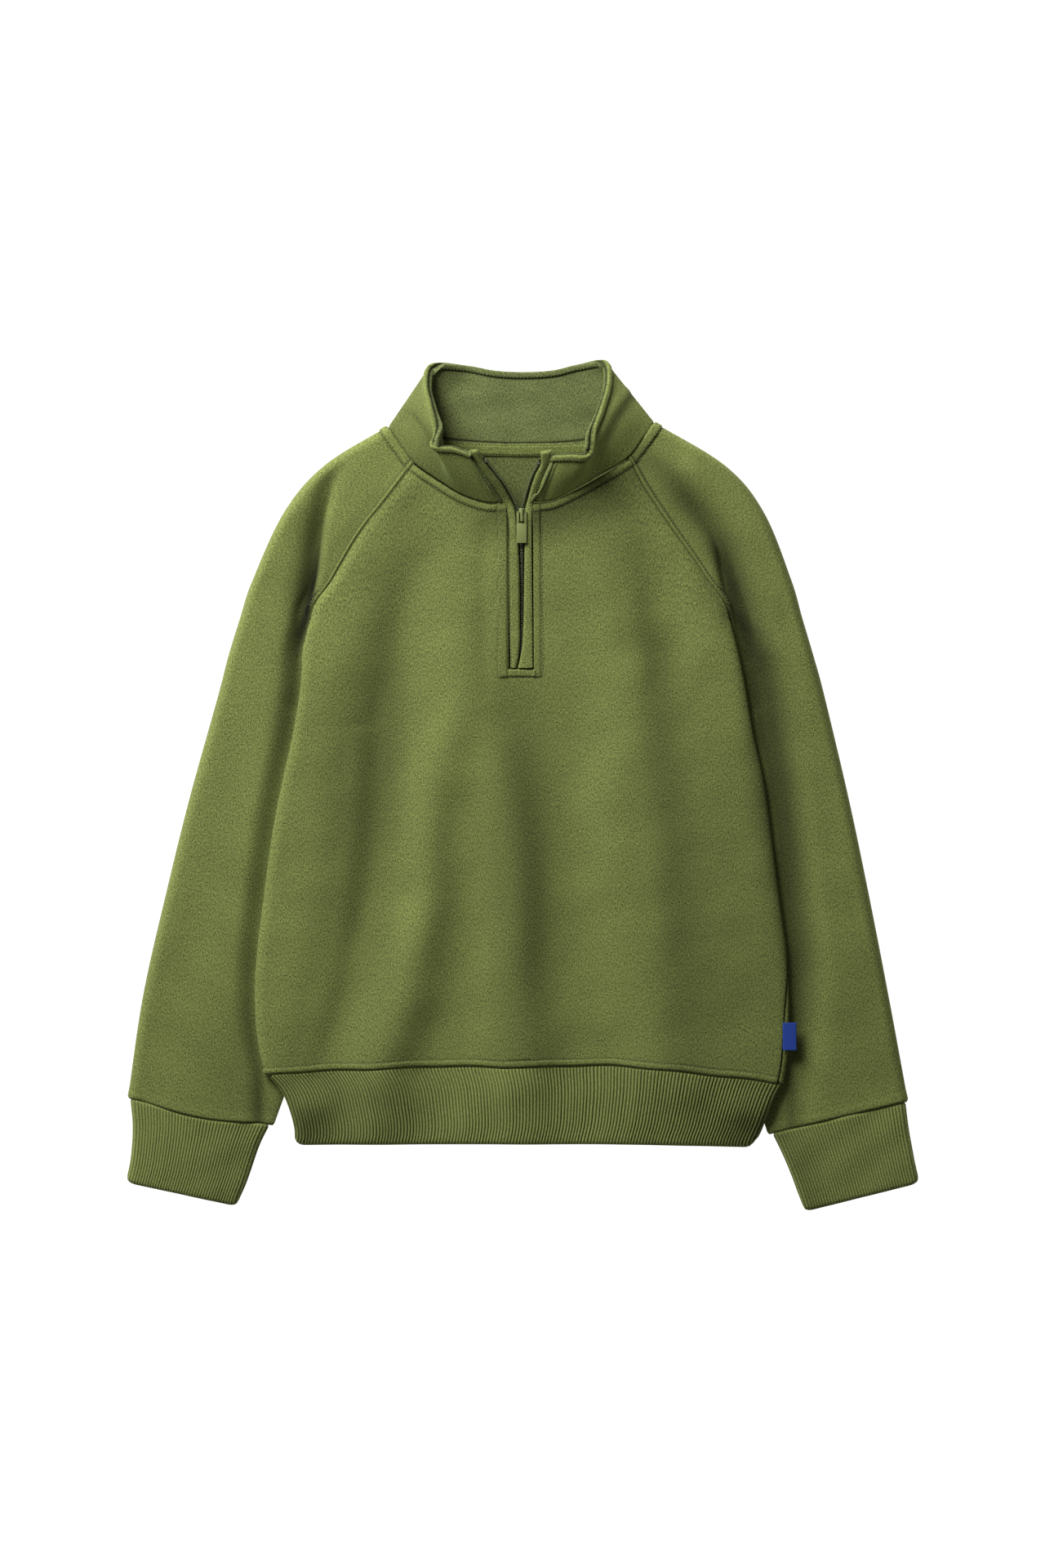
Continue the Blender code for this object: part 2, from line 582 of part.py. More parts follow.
def flat_ring(start, end, low, high, width_roll, sag=0.0, steps=13):
    """A closed flattened section between two edge points, lower layer then upper."""
    start, end = np.array(start, float), np.array(end, float)
    width = np.linalg.norm(end - start)
    ends = 1 - np.cos(np.linspace(0, math.pi / 2, 12))
    ds = np.concatenate([width_roll * ends, np.linspace(width_roll, width - width_roll, 50)[1:-1],
                         width - width_roll * ends[::-1]])
    layers = []
    for level, order in ((low, ds), (high, ds[::-1])):
        path = []
        for d in order:
            t = d / width
            x, y = start + (end - start) * t
            middle = 0.5 * (low(x, y) + high(x, y))
            share = arc_share(min(d, width - d) / width_roll)
            path.append((x, y - sag * math.sin(math.pi * t) ** 1.5,
                         middle + (level(x, y) - middle) * share))
        layers.append(resample(path, steps)[:-1])
    return np.concatenate(layers)


def build_cuff(side):
    grid = []
    for i, row in enumerate(CUFFS[side]):
        row = dict(zip(CUFF_COLUMNS, row))
        sag = WRIST_SAG[side] * (1 - i / 3)
        outer = (side * row["outer_x"], row["outer_y"] - 0.6)
        inner = (side * row["inner_x"], row["inner_y"] - 0.6)
        ends = (inner, outer) if side > 0 else (outer, inner)
        grid.append(flat_ring(*ends, lambda x, y: RIB / 2, lambda x, y: RIB_TOP, 4.5, sag))
    name = "cuff_right" if side < 0 else "cuff_left"
    sheet(name, grid, RIB, "rib", ring=True)


def build_hem():
    grid = []
    for i, row in enumerate(HEM):
        row = dict(zip(HEM_COLUMNS, row))
        lift = row["lift"]
        fade = 1 - i / (len(HEM) - 1)

        def low(x, y):
            side = -1 if x < 0 else 1
            reach = min(inner_edge(side, y), 164.0)
            return RIB / 2 + (OVER_SLEEVE - RIB / 2 + 0.1) * lift * smooth(
                (abs(x) - reach + 28) / 20)

        def high(x, y):
            rise = smooth((abs(x) - 126) / 30) * (BODY_SIDE - RIB_TOP) * lift
            return RIB_TOP + fold_height(x, -195) * fade * 0.8 + rise

        ends = ((-row["right_x"], row["right_y"]), (row["left_x"], row["left_y"]))
        ring = flat_ring(*ends, low, high, 5.5, 0.0, steps=20)
        half = np.where(ring[:, 0] < 0, row["right_x"], row["left_x"])
        half = half if i else np.where(ring[:, 0] < 0, BODY[-1][2], BODY[-1][4])
        side_y = np.where(ring[:, 0] < 0, row["right_y"], row["left_y"])
        ring[:, 1] = [bow(x, row["mid_y"], sy, h) for x, sy, h in zip(ring[:, 0], side_y, half)]
        grid.append(ring)
    grid = np.array(grid)
    grid[0] -= [0, 0.35, 0]
    sheet("hem_rib", grid, RIB, "rib", ring=True)


# ---- collar and its trim ----
COLLAR_STATIONS = [s / 2 for s in range(37)] + [
    fold + step for fold in (6, 12) for step in (-0.75, -0.25, 0.12, -0.12, 0.25, 0.75)]


def collar_grid(rows=4):
    stations = sorted(COLLAR_STATIONS)
    grid = np.empty((rows + 1, len(stations), 3))
    for j, station in enumerate(stations):
        row = dict(zip(COLLAR_COLUMNS, curve(COLLAR, station)))
        neck = np.array([row["neck_x"], row["neck_y"], row["neck_z"]])
        rim = np.array([row["rim_x"], row["rim_y"], row["rim_z"]])
        start = COLLAR_START / np.linalg.norm(rim - neck)
        for i, t in enumerate(np.linspace(start, 1, rows + 1)):
            grid[i, j] = neck + (rim - neck) * t + [0, 0, row["swell"] * math.sin(math.pi * t)]
    return grid


def grid_normals(grid):
    def along(axis):
        step = np.diff(grid, axis=axis)
        step = step / np.linalg.norm(step, axis=2, keepdims=True)
        first, last = step.take([0], axis), step.take([-1], axis)
        return np.concatenate([first, step], axis) + np.concatenate([step, last], axis)
    round_band = along(1)
    normal = np.cross(round_band, along(0))
    mitre = 2 / np.linalg.norm(round_band, axis=2, keepdims=True)
    return mitre * normal / np.linalg.norm(normal, axis=2, keepdims=True)


def build_collar():
    """Two layers face on face; the inner one leaves out the tightest part of each fold."""
    outer = collar_grid()
    outer[:, 0, 0] -= GAP
    outer[:, -1, 0] += GAP
    keep = [k for k, station in enumerate(sorted(COLLAR_STATIONS))
            if min(abs(station - 6), abs(station - 12)) > 0.6]
    inner = (outer - LAYER * 1.12 * outward(outer))[:, keep]
    sheet("collar_outer", outer, CLOTH, "jersey")
    sheet("collar_inner", inner, CLOTH, "jersey")


def outward(grid):
    """Normals of the collar band that face away from the neck."""
    normals = grid_normals(grid)
    front = normals[2, 2]
    return normals if front[2] > 0 else -normals


def build_neck_tape():
    grid = []
    for offset in (1.0, 8.2):
        row = []
        for x in np.linspace(-66, 66, 17):
            y = bow(x, 239.3, 245.0, 66) - offset
            row.append((x, y, back_height(x, y) + CLOTH / 2 + GAP + 0.4))
        grid.append(row)
    sheet("neck_tape", grid, 0.8, "jersey")


def welt_height(x, y):
    if y > WELT_RISE[1][0]:
        return table(WELT_RISE, y, 1)
    return front_height(0, y) + 0.3


def build_welt(side):
    rows = WELT_RIGHT if side < 0 else WELT_LEFT
    grid = []
    for station in np.linspace(0, len(rows) - 1, 15):
        out_x, out_y, in_x, in_y = curve(rows, station)
        row = []
        for t in np.linspace(0, 1, 4):
            x, y = out_x + (in_x - out_x) * t, out_y + (in_y - out_y) * t
            row.append((x, y, welt_height(x, y)))
        grid.append(row)
    sheet("welt_right" if side < 0 else "welt_left", grid, WELT, "jersey")


def tape_height(x, y):
    return welt_height(x, y) - WELT / 2 - TAPE / 2 - GAP - 0.2 - 0.3 * smooth((y - 196) / 8)


def build_tape(side):
    rows = WELT_RIGHT if side < 0 else WELT_LEFT
    grid = []
    for station in np.linspace(0.5, len(rows) - 1, 14):
        x, y = curve(rows, station)[2:]
        closed = smooth((200 - y) / 12)
        edge = (x - side * 2.4) * (1 - closed) + side * 0.15 * closed
        grid.append([(edge + side * d, y, tape_height(x, y)) for d in (5.0, 2.5, 0.0)])
    sheet("zip_tape_right" if side < 0 else "zip_tape_left", grid, TAPE, "tape")
    x, y = curve(rows, 0.7)[2:]
    name = "zip_stop_right" if side < 0 else "zip_stop_left"
    box(name, (1.1, 2.2, 1.2), (x - side * 1.8, y, tape_height(x, y) + 1.75), "metal", 0.3)


def build_slider():
    """The slider's body with the bridge that the pull's pin turns under."""
    z_pull = pull_height()
    low = tape_height(0, PIN_Y) + TAPE / 2 + GAP
    top = z_pull - 1.1
    body = box("zip_slider", (4.0, 10.4, top - low), (0, PIN_Y - 2.4, (low + top) / 2),
               "pull", 0.5)
    bridge_top = z_pull + 2.0
    parts = (
        ((1.8, 1.4, bridge_top - top + 0.4), (0, PIN_Y + 1.9, (top + bridge_top) / 2 - 0.2)),
        ((1.8, 1.4, bridge_top - top + 0.4), (0, PIN_Y - 6.0, (top + bridge_top) / 2 - 0.2)),
        ((1.8, 9.3, 1.0), (0, PIN_Y - 2.05, bridge_top - 0.5)),
    )
    for size, centre in parts:
        piece = box("bridge", size, centre, "pull")
        piece.hide_render = True
        join = body.modifiers.new("Bridge", "BOOLEAN")
        join.operation = "UNION"
        join.object = piece


def pull_height():
    return welt_height(0, PIN_Y) + WELT / 2 + GAP + PULL_THICK / 2


def build_pull():
    """The pull tab, hung on its pin, with its origin on the hinge axis."""
    z = pull_height()
    pull = box("zip_pull", (PULL_WIDTH, PULL_LENGTH, PULL_THICK), (0, PIN_Y, z), "pull", 0.0)
    for v in pull.data.vertices:
        v.co.y -= (PULL_LENGTH / 2 - 0.6) * MM
    window = box("window", (WINDOW_WIDTH, WINDOW_LENGTH, 4),
                 (0, PIN_Y - 0.6 - WINDOW_LENGTH / 2, z), "pull")
    window.hide_render = True
    cut = pull.modifiers.new("Window", "BOOLEAN")
    cut.operation = "DIFFERENCE"
    cut.object = window
    edge = pull.modifiers.new("Edge", "BEVEL")
    edge.width = 0.25 * MM
    edge.segments = 2
    edge.limit_method = "ANGLE"


def build_label():
    """A folded loop that leaves the side seam and lies out over the back's edge."""
    seam = np.array(roll_point(1, LABEL_Y, -3.4))
    mid = LABEL_LEAF / 2 + GAP / 2
    profile = []
    lift = CLOTH / 2 + GAP + LABEL_LEAF + GAP / 2 + 0.5
    for d in np.linspace(0, LABEL_LENGTH - mid, 5):
        profile.append((d, mid - d * 0.06))
    for a in np.linspace(60, -60, 3):
        turn = math.radians(a)
        profile.append((LABEL_LENGTH - mid + mid * math.cos(turn),
                        mid * math.sin(turn) - LABEL_LENGTH * 0.06))
    for d in np.linspace(LABEL_LENGTH - mid, 0, 5):
        profile.append((d, -mid - d * 0.06))
    grid = []
    for y in (LABEL_Y + LABEL_WIDTH / 2, LABEL_Y, LABEL_Y - LABEL_WIDTH / 2):
        grid.append([(seam[0] + d, y, seam[2] + lift + z) for d, z in profile])
    sheet("side_label", grid, LABEL_LEAF, "label")


def main():
    for obj in list(bpy.data.objects):
        bpy.data.objects.remove(obj, do_unlink=True)
    build_front()
    build_back()
    for side in (-1, 1):
        build_sleeve(side)
        build_cuff(side)
        build_welt(side)
        build_tape(side)
    build_hem()
    build_collar()
    build_neck_tape()
    build_slider()
    build_pull()
    build_label()


main()
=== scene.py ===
"""Looks for a child's quarter-zip sweatshirt with a stand collar, laid flat on its back.

+X is the wearer's left, +Y runs up to the collar and +Z faces up. Tables and sizes are
in millimetres and the meshes in metres. Every cloth piece is a thin wall on a grid of
mid points; its seams, folds and ribs are raised on the outer face.
"""

import math

import bpy
import numpy as np
from mathutils import Matrix, Vector


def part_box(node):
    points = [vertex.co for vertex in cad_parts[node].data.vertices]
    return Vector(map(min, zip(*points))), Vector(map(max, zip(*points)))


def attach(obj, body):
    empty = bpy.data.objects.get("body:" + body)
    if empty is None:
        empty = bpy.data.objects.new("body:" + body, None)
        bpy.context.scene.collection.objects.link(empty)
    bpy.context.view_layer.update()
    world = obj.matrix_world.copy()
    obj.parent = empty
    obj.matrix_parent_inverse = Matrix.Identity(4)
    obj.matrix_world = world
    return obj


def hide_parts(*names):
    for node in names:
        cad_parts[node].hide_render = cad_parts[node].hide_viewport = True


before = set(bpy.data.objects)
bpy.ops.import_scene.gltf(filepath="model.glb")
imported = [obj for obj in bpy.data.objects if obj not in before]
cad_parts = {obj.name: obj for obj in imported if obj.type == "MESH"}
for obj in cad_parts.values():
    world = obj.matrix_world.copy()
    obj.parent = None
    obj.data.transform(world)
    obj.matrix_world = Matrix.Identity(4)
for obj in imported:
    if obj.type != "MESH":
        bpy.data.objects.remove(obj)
for chosen in list(bpy.context.selected_objects):
    chosen.select_set(False)
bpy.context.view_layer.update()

MM = 0.001
GARMENT = "garment"
NAMES = {-1: "right", 1: "left"}   # the wearer's sides

# ---- the garment's sizes (mm) ----
CLOTH = 2.0           # brushed sweatshirt jersey
RIB = 2.2             # rib of cuffs and hem band
GAP = 0.3             # between pieces at a seam
GROUND = 1.1          # mid height of a layer that lies on the surface
FLATTEST = 3.9        # lowest mid height of a sleeve's upper layer
PRESSED = 5.0         # mid height of a sleeve's upper layer under the body
OVER_SLEEVE = 7.5     # mid height of the body's lower layer where it lies on a sleeve
ROLL_WIDTH = 7.0      # how far in from the body's edge its roll reaches
SLEEVE_ROLL = 6.0     # the same at a sleeve's outer fold
BODY_SIDE = 13.7      # mid height of the front where it lies over a sleeve
LAYER = CLOTH + GAP   # from mid layer to mid layer, face on face
VISIBLE_SEAM_END = 120.1   # y where the front starts to roll under beside the sleeve
ARMPIT = 42.3
ZIP_END = 83.5
SLOT = {-1: ((203.0, -13.8), (192.0, -9.7), (83.0, -9.3)),   # y, x of the zip opening
        1: ((203.0, 8.6), (192.0, 8.2), (83.0, 8.7))}
SEAM_INSET = 0.1      # each panel's share of the gap at a raglan seam, where both tilt
WELT = 2.8            # folded strip
TAPE = 1.0            # room that a zip tape takes up under its welt
TAPE_WALL = 0.8       # the tapes' own thickness, at the zip and at the neck
PULL_WIDTH, PULL_LENGTH, PULL_THICK = 7.2, 22.6, 1.2
WINDOW_WIDTH, WINDOW_LENGTH = 3.4, 7.2
PIN_Y = 194.4         # the pull's pin, which is its hinge axis
LABEL_LENGTH, LABEL_WIDTH, LABEL_LEAF = 9.6, 19.6, 0.5
LABEL_Y = -177.4

SLEEVE_COLUMNS = ("front_x", "front_y", "front_z", "fold_x", "fold_y",
                  "back_x", "back_y", "back_z", "crown", "pressed")
SLEEVE_RIGHT = (
    (76.0, 229.4, 12.5, 94.6, 255.6, 73.7, 244.8, 1.1, 10.6, 0.00),   # neck
    (95.1, 204.2, 11.5, 140.0, 227.4, 83.0, 209.0, 1.1, 10.6, 0.00),
    (114.3, 179.8, 10.5, 168.4, 194.4, 93.0, 170.0, 1.1, 10.2, 0.00),
    (133.4, 147.9, 9.0, 191.0, 145.5, 104.0, 127.0, 1.1, 9.8, 0.00),
    (149.1, 120.1, 7.2, 199.4, 120.0, 111.5, 98.0, 1.1, 9.4, 0.00),   # visible seam end
    (137.5, 77.1, 5.2, 208.0, 92.0, 119.5, 67.0, 1.1, 9.2, 0.25),
    (125.9, 42.3, 3.7, 215.0, 65.0, 125.9, 42.3, 2.3, 9.0, 0.38),     # armpit
    (128.5, -25.0, 3.7, 235.1, -7.0, 128.5, -25.0, 2.3, 9.0, 0.42),
    (136.0, -90.0, 3.7, 251.0, -71.0, 136.0, -90.0, 2.3, 9.0, 0.42),
    (149.1, -160.1, 3.7, 268.5, -148.0, 149.1, -160.1, 2.3, 8.8, 0.32),
    (177.5, -241.3, 3.7, 279.6, -222.1, 177.5, -241.3, 2.3, 7.4, 0.00),  # wrist
)
SLEEVE_LEFT = (
    (74.8, 232.6, 12.5, 93.4, 258.4, 73.7, 247.1, 1.1, 10.6, 0.00),
    (87.5, 210.5, 11.5, 144.6, 227.2, 83.0, 210.0, 1.1, 10.6, 0.00),
    (105.6, 183.6, 10.5, 171.6, 194.4, 93.0, 170.0, 1.1, 10.2, 0.00),
    (128.0, 152.0, 9.0, 191.0, 146.5, 104.0, 127.0, 1.1, 9.8, 0.00),
    (146.7, 120.1, 7.2, 198.7, 120.0, 111.5, 98.0, 1.1, 9.4, 0.00),
    (137.5, 77.1, 5.2, 207.0, 92.0, 119.5, 67.0, 1.1, 9.2, 0.25),
    (125.9, 42.3, 3.7, 214.4, 65.0, 125.9, 42.3, 2.3, 9.0, 0.38),
    (128.5, -25.0, 3.7, 231.5, -7.0, 128.5, -25.0, 2.3, 9.0, 0.42),
    (136.0, -90.0, 3.7, 245.0, -71.0, 136.0, -90.0, 2.3, 9.0, 0.42),
    (149.1, -163.0, 3.7, 260.5, -150.0, 149.1, -163.0, 2.3, 8.8, 0.32),
    (176.3, -247.7, 3.7, 274.3, -224.5, 176.3, -247.7, 2.3, 7.4, 0.00),
)
SLEEVES = {-1: SLEEVE_RIGHT, 1: SLEEVE_LEFT}
WRIST_SAG = {-1: 4.5, 1: 0.0}
ARMPIT_STATION = 6.0

# Body sections from the neck down: height along the sides, height along the middle,
# half width to each edge, and how far each side seam lies under that edge
# (negative: up on the front). Above ARMPIT the sides are the raglan seams.
BODY_COLUMNS = ("y", "mid_y", "edge_right", "under_right", "edge_left", "under_left")
BODY = (
    (120.1, 115.0, 149.1, 0.0, 146.7, 0.0),
    (106.0, 103.0, 152.5, 0.0, 150.6, 0.0),
    (94.5, 92.5, 154.7, 0.0, 153.1, 0.0),
    (83.2, 83.2, 155.2, 0.0, 155.6, 0.0),
    (65.5, 65.5, 156.8, 0.0, 158.9, 0.0),
    (42.3, 42.3, 160.6, 36.1, 162.6, 36.7),
    (24.0, 24.0, 164.4, 32.0, 166.6, 32.0),
    (7.5, 7.5, 168.2, 28.0, 170.3, 28.0),
    (-21.5, -21.5, 174.0, 21.0, 174.8, 20.0),
    (-50.5, -50.5, 178.6, 15.0, 178.4, 12.0),
    (-79.5, -79.5, 182.3, 10.0, 182.1, 6.0),
    (-108.5, -108.5, 186.0, 6.0, 186.2, 2.0),
    (-123.0, -123.0, 187.3, 5.0, 187.5, 0.3),
    (-137.5, -137.5, 188.4, 4.0, 188.5, -0.8),
    (-166.5, -166.5, 187.9, 3.0, 189.0, -3.4),
    (-187.0, -184.0, 185.2, 3.0, 187.8, -3.5),
    (-205.0, -199.5, 181.0, 3.0, 184.6, -3.5),
)
HEM_DROP = {-1: 0.0, 1: 6.5}   # extra drop of the hem seam's end on each side
SHOULDER_ROWS = ((229.4, 201.2), (212.0, 187.0), (195.0, 173.0), (177.0, 159.0),
                 (158.0, 143.0), (139.0, 129.0))   # y at the raglan seam, y in the middle
MID_HEIGHT = (     # y, mid height of the front's middle
    (260.0, 13.4), (230.0, 13.3), (201.0, 13.2), (168.0, 12.5), (144.0, 11.0), (120.0, 9.4),
    (100.0, 8.5), (83.0, 7.8), (62.0, 7.0), (40.0, 6.5), (20.0, 6.3), (-10.0, 6.2),
    (-60.0, 6.2), (-110.0, 6.2), (-160.0, 6.2), (-205.0, 6.2))

# Collar sections from the wearer's right zip edge, round the back, to the left one.
COLLAR_COLUMNS = ("neck_x", "neck_y", "neck_z", "rim_x", "rim_y", "rim_z", "swell")
COLLAR = (
    (-13.3, 202.4, 13.5, -37.3, 234.8, 33.0, 1.0),
    (-24.0, 201.6, 13.5, -49.0, 238.8, 35.0, 1.5),
    (-41.2, 207.1, 13.5, -62.4, 241.0, 36.0, 2.0),    # front corner
    (-56.3, 215.8, 13.2, -60.4, 254.0, 33.5, 2.5),
    (-76.0, 229.4, 12.5, -63.0, 268.0, 28.5, 2.5),
    (-87.5, 244.5, 11.0, -66.6, 286.0, 20.0, 1.5),
    (-93.5, 255.4, 6.2, -62.2, 300.0, 11.0, 0.0),     # side fold
    (-74.0, 246.6, 1.3, -41.0, 299.8, 3.8, 0.0),
    (-38.0, 241.6, 1.3, -20.0, 296.0, 3.4, 0.0),
    (0.0, 239.8, 1.3, 0.0, 294.8, 3.2, 0.0),          # back middle
    (38.0, 241.6, 1.3, 22.0, 296.0, 3.4, 0.0),
    (74.0, 248.6, 1.3, 40.5, 300.4, 3.8, 0.0),
    (93.2, 258.3, 6.2, 57.8, 302.0, 11.0, 0.0),       # side fold
    (86.5, 247.0, 11.0, 60.6, 287.5, 20.0, 1.5),
    (74.8, 232.6, 12.5, 55.6, 268.0, 28.5, 2.5),
    (54.5, 220.4, 13.2, 50.2, 252.0, 33.0, 2.5),
    (38.0, 211.0, 13.5, 47.6, 234.8, 36.0, 2.0),      # front corner
    (22.0, 203.4, 13.5, 34.4, 233.6, 35.0, 1.5),
    (8.1, 201.8, 13.5, 21.6, 233.4, 32.0, 1.0),
)
COLLAR_START = 0.2   # from the neck seam to the collar's lower edge

# Cuff sections from the sleeve down: outer edge and inner edge, x outwards.
CUFF_COLUMNS = ("outer_x", "outer_y", "inner_x", "inner_y")
CUFFS = {
    -1: ((277.2, -222.6, 181.0, -241.0), (275.6, -241.0, 188.0, -255.5),
         (276.6, -261.0, 195.4, -277.0), (279.8, -282.0, 203.4, -298.4)),
    1: ((272.0, -225.4, 180.0, -247.0), (274.2, -243.0, 187.2, -262.0),
        (277.4, -261.0, 194.6, -280.0), (281.4, -282.4, 202.0, -302.2)),
}
# Hem band sections from the hem seam down: half widths, drop of each end below mid_y.
HEM_COLUMNS = ("mid_y", "right_x", "right_y", "left_x", "left_y", "lift")
HEM = (
    (-199.5, 178.8, -205.0, 184.0, -211.5, 1.0),
    (-213.0, 169.2, -216.5, 178.6, -221.0, 1.0),
    (-227.0, 163.6, -229.5, 173.4, -233.0, 0.85),
    (-241.0, 160.4, -243.0, 169.4, -244.0, 0.4),
    (-254.4, 160.2, -254.8, 163.6, -256.4, 0.0),
)
RIB_TOP = 6.8         # mid height of a rib band's upper layer

WELT_COLUMNS = ("out_x", "out_y", "in_x", "in_y")
WELT_RIGHT = (
    (-36.6, 236.8, -31.3, 237.2),
    (-31.6, 227.0, -26.4, 229.0),
    (-25.4, 218.6, -20.4, 221.6),
    (-18.2, 209.0, -13.6, 213.0),
    (-13.2, 201.6, -8.3, 204.0),
    (-9.9, 192.8, -4.6, 195.4),
    (-9.0, 183.0, -3.3, 183.0),
    (-9.0, 165.0, -1.9, 165.0),
    (-8.9, 145.0, -1.3, 145.0),
    (-8.6, 122.0, -1.2, 122.0),
    (-8.3, 103.0, -1.1, 103.0),
    (-8.1, 92.0, -2.0, 92.0),
    (-8.1, 84.0, -3.6, 84.0),
)
WELT_LEFT = (
    (21.4, 237.2, 13.2, 235.6),
    (18.6, 227.4, 13.6, 227.6),
    (14.8, 219.0, 9.8, 220.2),
    (11.2, 210.0, 6.6, 211.4),
    (8.4, 201.6, 4.3, 203.2),
    (7.2, 193.0, 2.4, 195.6),
    (7.2, 183.0, 2.2, 183.0),
    (7.4, 165.0, 2.0, 165.0),
    (7.6, 145.0, 1.7, 145.0),
    (7.8, 122.0, 1.4, 122.0),
    (8.0, 103.0, 0.6, 103.0),
    (8.1, 92.0, -0.9, 92.0),
    (8.2, 84.0, -2.9, 84.0),
)
WELT_RISE = ((238.0, 34.0), (236.0, 33.0), (219.0, 23.0), (202.4, 13.8), (190.0, 13.2))

# ---- folds: the line of each crest or trough ----
FOLD_COLUMNS = ("y", "x", "height", "width_right", "width_left")
BODY_FOLDS = (
    # the long fold that leans out towards the wearer's right
    ((172.0, -42.0, 0.0, 22.0, 24.0), (140.0, -41.0, 2.0, 23.0, 26.0),
     (94.0, -40.0, 4.0, 24.0, 28.0), (65.0, -42.0, 5.0, 22.0, 28.0),
     (36.0, -51.0, 5.6, 20.0, 22.0), (-21.0, -66.0, 6.2, 18.0, 16.0),
     (-79.0, -67.0, 7.6, 17.0, 17.0), (-137.0, -79.0, 9.2, 20.0, 20.0),
     (-184.0, -94.0, 9.6, 22.0, 23.0), (-215.0, -100.0, 6.0, 22.0, 23.0)),
    # the fold under the placket
    ((66.0, -24.0, 0.0, 14.0, 18.0), (46.0, -20.0, 1.6, 14.0, 18.0),
     (24.0, -14.0, 4.4, 14.0, 18.0), (-21.0, -7.0, 7.4, 15.0, 17.0),
     (-79.0, -3.0, 9.2, 18.0, 18.0), (-137.0, -4.5, 9.4, 21.0, 20.0),
     (-184.0, 1.0, 9.0, 26.0, 24.0), (-215.0, 1.0, 5.6, 26.0, 24.0)),
    # the fold towards the wearer's left
    ((195.0, 70.0, 0.0, 24.0, 14.0), (152.0, 73.0, 3.4, 26.0, 14.0),
     (94.0, 80.0, 4.6, 28.0, 14.0), (65.0, 82.0, 4.8, 28.0, 15.0),
     (36.0, 84.0, 4.8, 28.0, 16.0), (-21.0, 86.0, 5.0, 30.0, 18.0),
     (-79.0, 91.0, 5.6, 30.0, 20.0), (-137.0, 100.0, 5.8, 30.0, 24.0),
     (-184.0, 108.0, 5.0, 32.0, 26.0), (-215.0, 112.0, 3.0, 32.0, 26.0)),
    # the slow slope beyond it
    ((60.0, 90.0, 0.0, 30.0, 60.0), (20.0, 90.0, 1.2, 30.0, 60.0), (-21.0, 92.0, 2.2, 30.0, 58.0),
     (-79.0, 98.0, 2.8, 30.0, 56.0), (-137.0, 108.0, 3.2, 30.0, 56.0),
     (-190.0, 114.0, 2.6, 30.0, 56.0), (-215.0, 118.0, 1.0, 30.0, 56.0)),
    # the shallow hollow beside the placket
    ((192.0, -25.0, 0.0, 6.0, 6.0), (176.0, -26.0, -0.8, 7.0, 6.0), (120.0, -27.0, -0.9, 7.0, 6.0),
     (80.0, -26.0, -0.8, 7.0, 6.0), (56.0, -25.0, 0.0, 8.0, 8.0)),
    # the long hollow on the wearer's right
    ((170.0, -80.0, 0.0, 18.0, 18.0), (152.0, -83.0, -1.6, 18.0, 18.0),
     (94.0, -92.0, -3.0, 17.0, 18.0), (65.0, -97.0, -3.6, 16.0, 16.0),
     (36.0, -99.0, -3.6, 16.0, 14.0), (-21.0, -102.0, -3.2, 16.0, 12.0),
     (-79.0, -113.0, -2.4, 16.0, 12.0), (-137.0, -126.0, -1.2, 16.0, 14.0),
     (-184.0, -134.0, -0.6, 16.0, 16.0), (-215.0, -136.0, 0.0, 16.0, 16.0)),
)
SLEEVE_FOLDS = {
    # the trough beside each raglan seam, which runs in under the body
    -1: (((230.0, -131.0, 0.0, 11.0, 7.0), (212.0, -136.0, -2.0, 11.0, 5.0),
          (192.0, -140.5, -5.4, 12.0, 3.6), (174.0, -143.5, -7.2, 13.0, 2.8),
          (152.0, -146.2, -7.4, 13.0, 2.8), (129.0, -150.4, -7.0, 12.0, 2.8),
          (108.0, -155.0, -4.4, 11.0, 3.4), (88.0, -159.5, -1.0, 10.0, 4.0),
          (70.0, -162.0, 0.0, 10.0, 4.0)),),
    1: (((224.0, 112.0, 0.0, 11.0, 14.0), (205.0, 123.0, -2.8, 12.0, 14.0),
         (187.0, 134.5, -6.6, 10.0, 14.0), (172.0, 141.0, -8.8, 5.0, 14.0),
         (152.0, 144.4, -10.0, 3.4, 14.0), (135.0, 147.5, -10.0, 3.2, 14.0),
         (118.0, 152.0, -9.4, 3.2, 13.0), (102.0, 157.0, -5.0, 3.2, 12.0),
         (86.0, 160.0, 0.0, 3.2, 11.0)),),
}
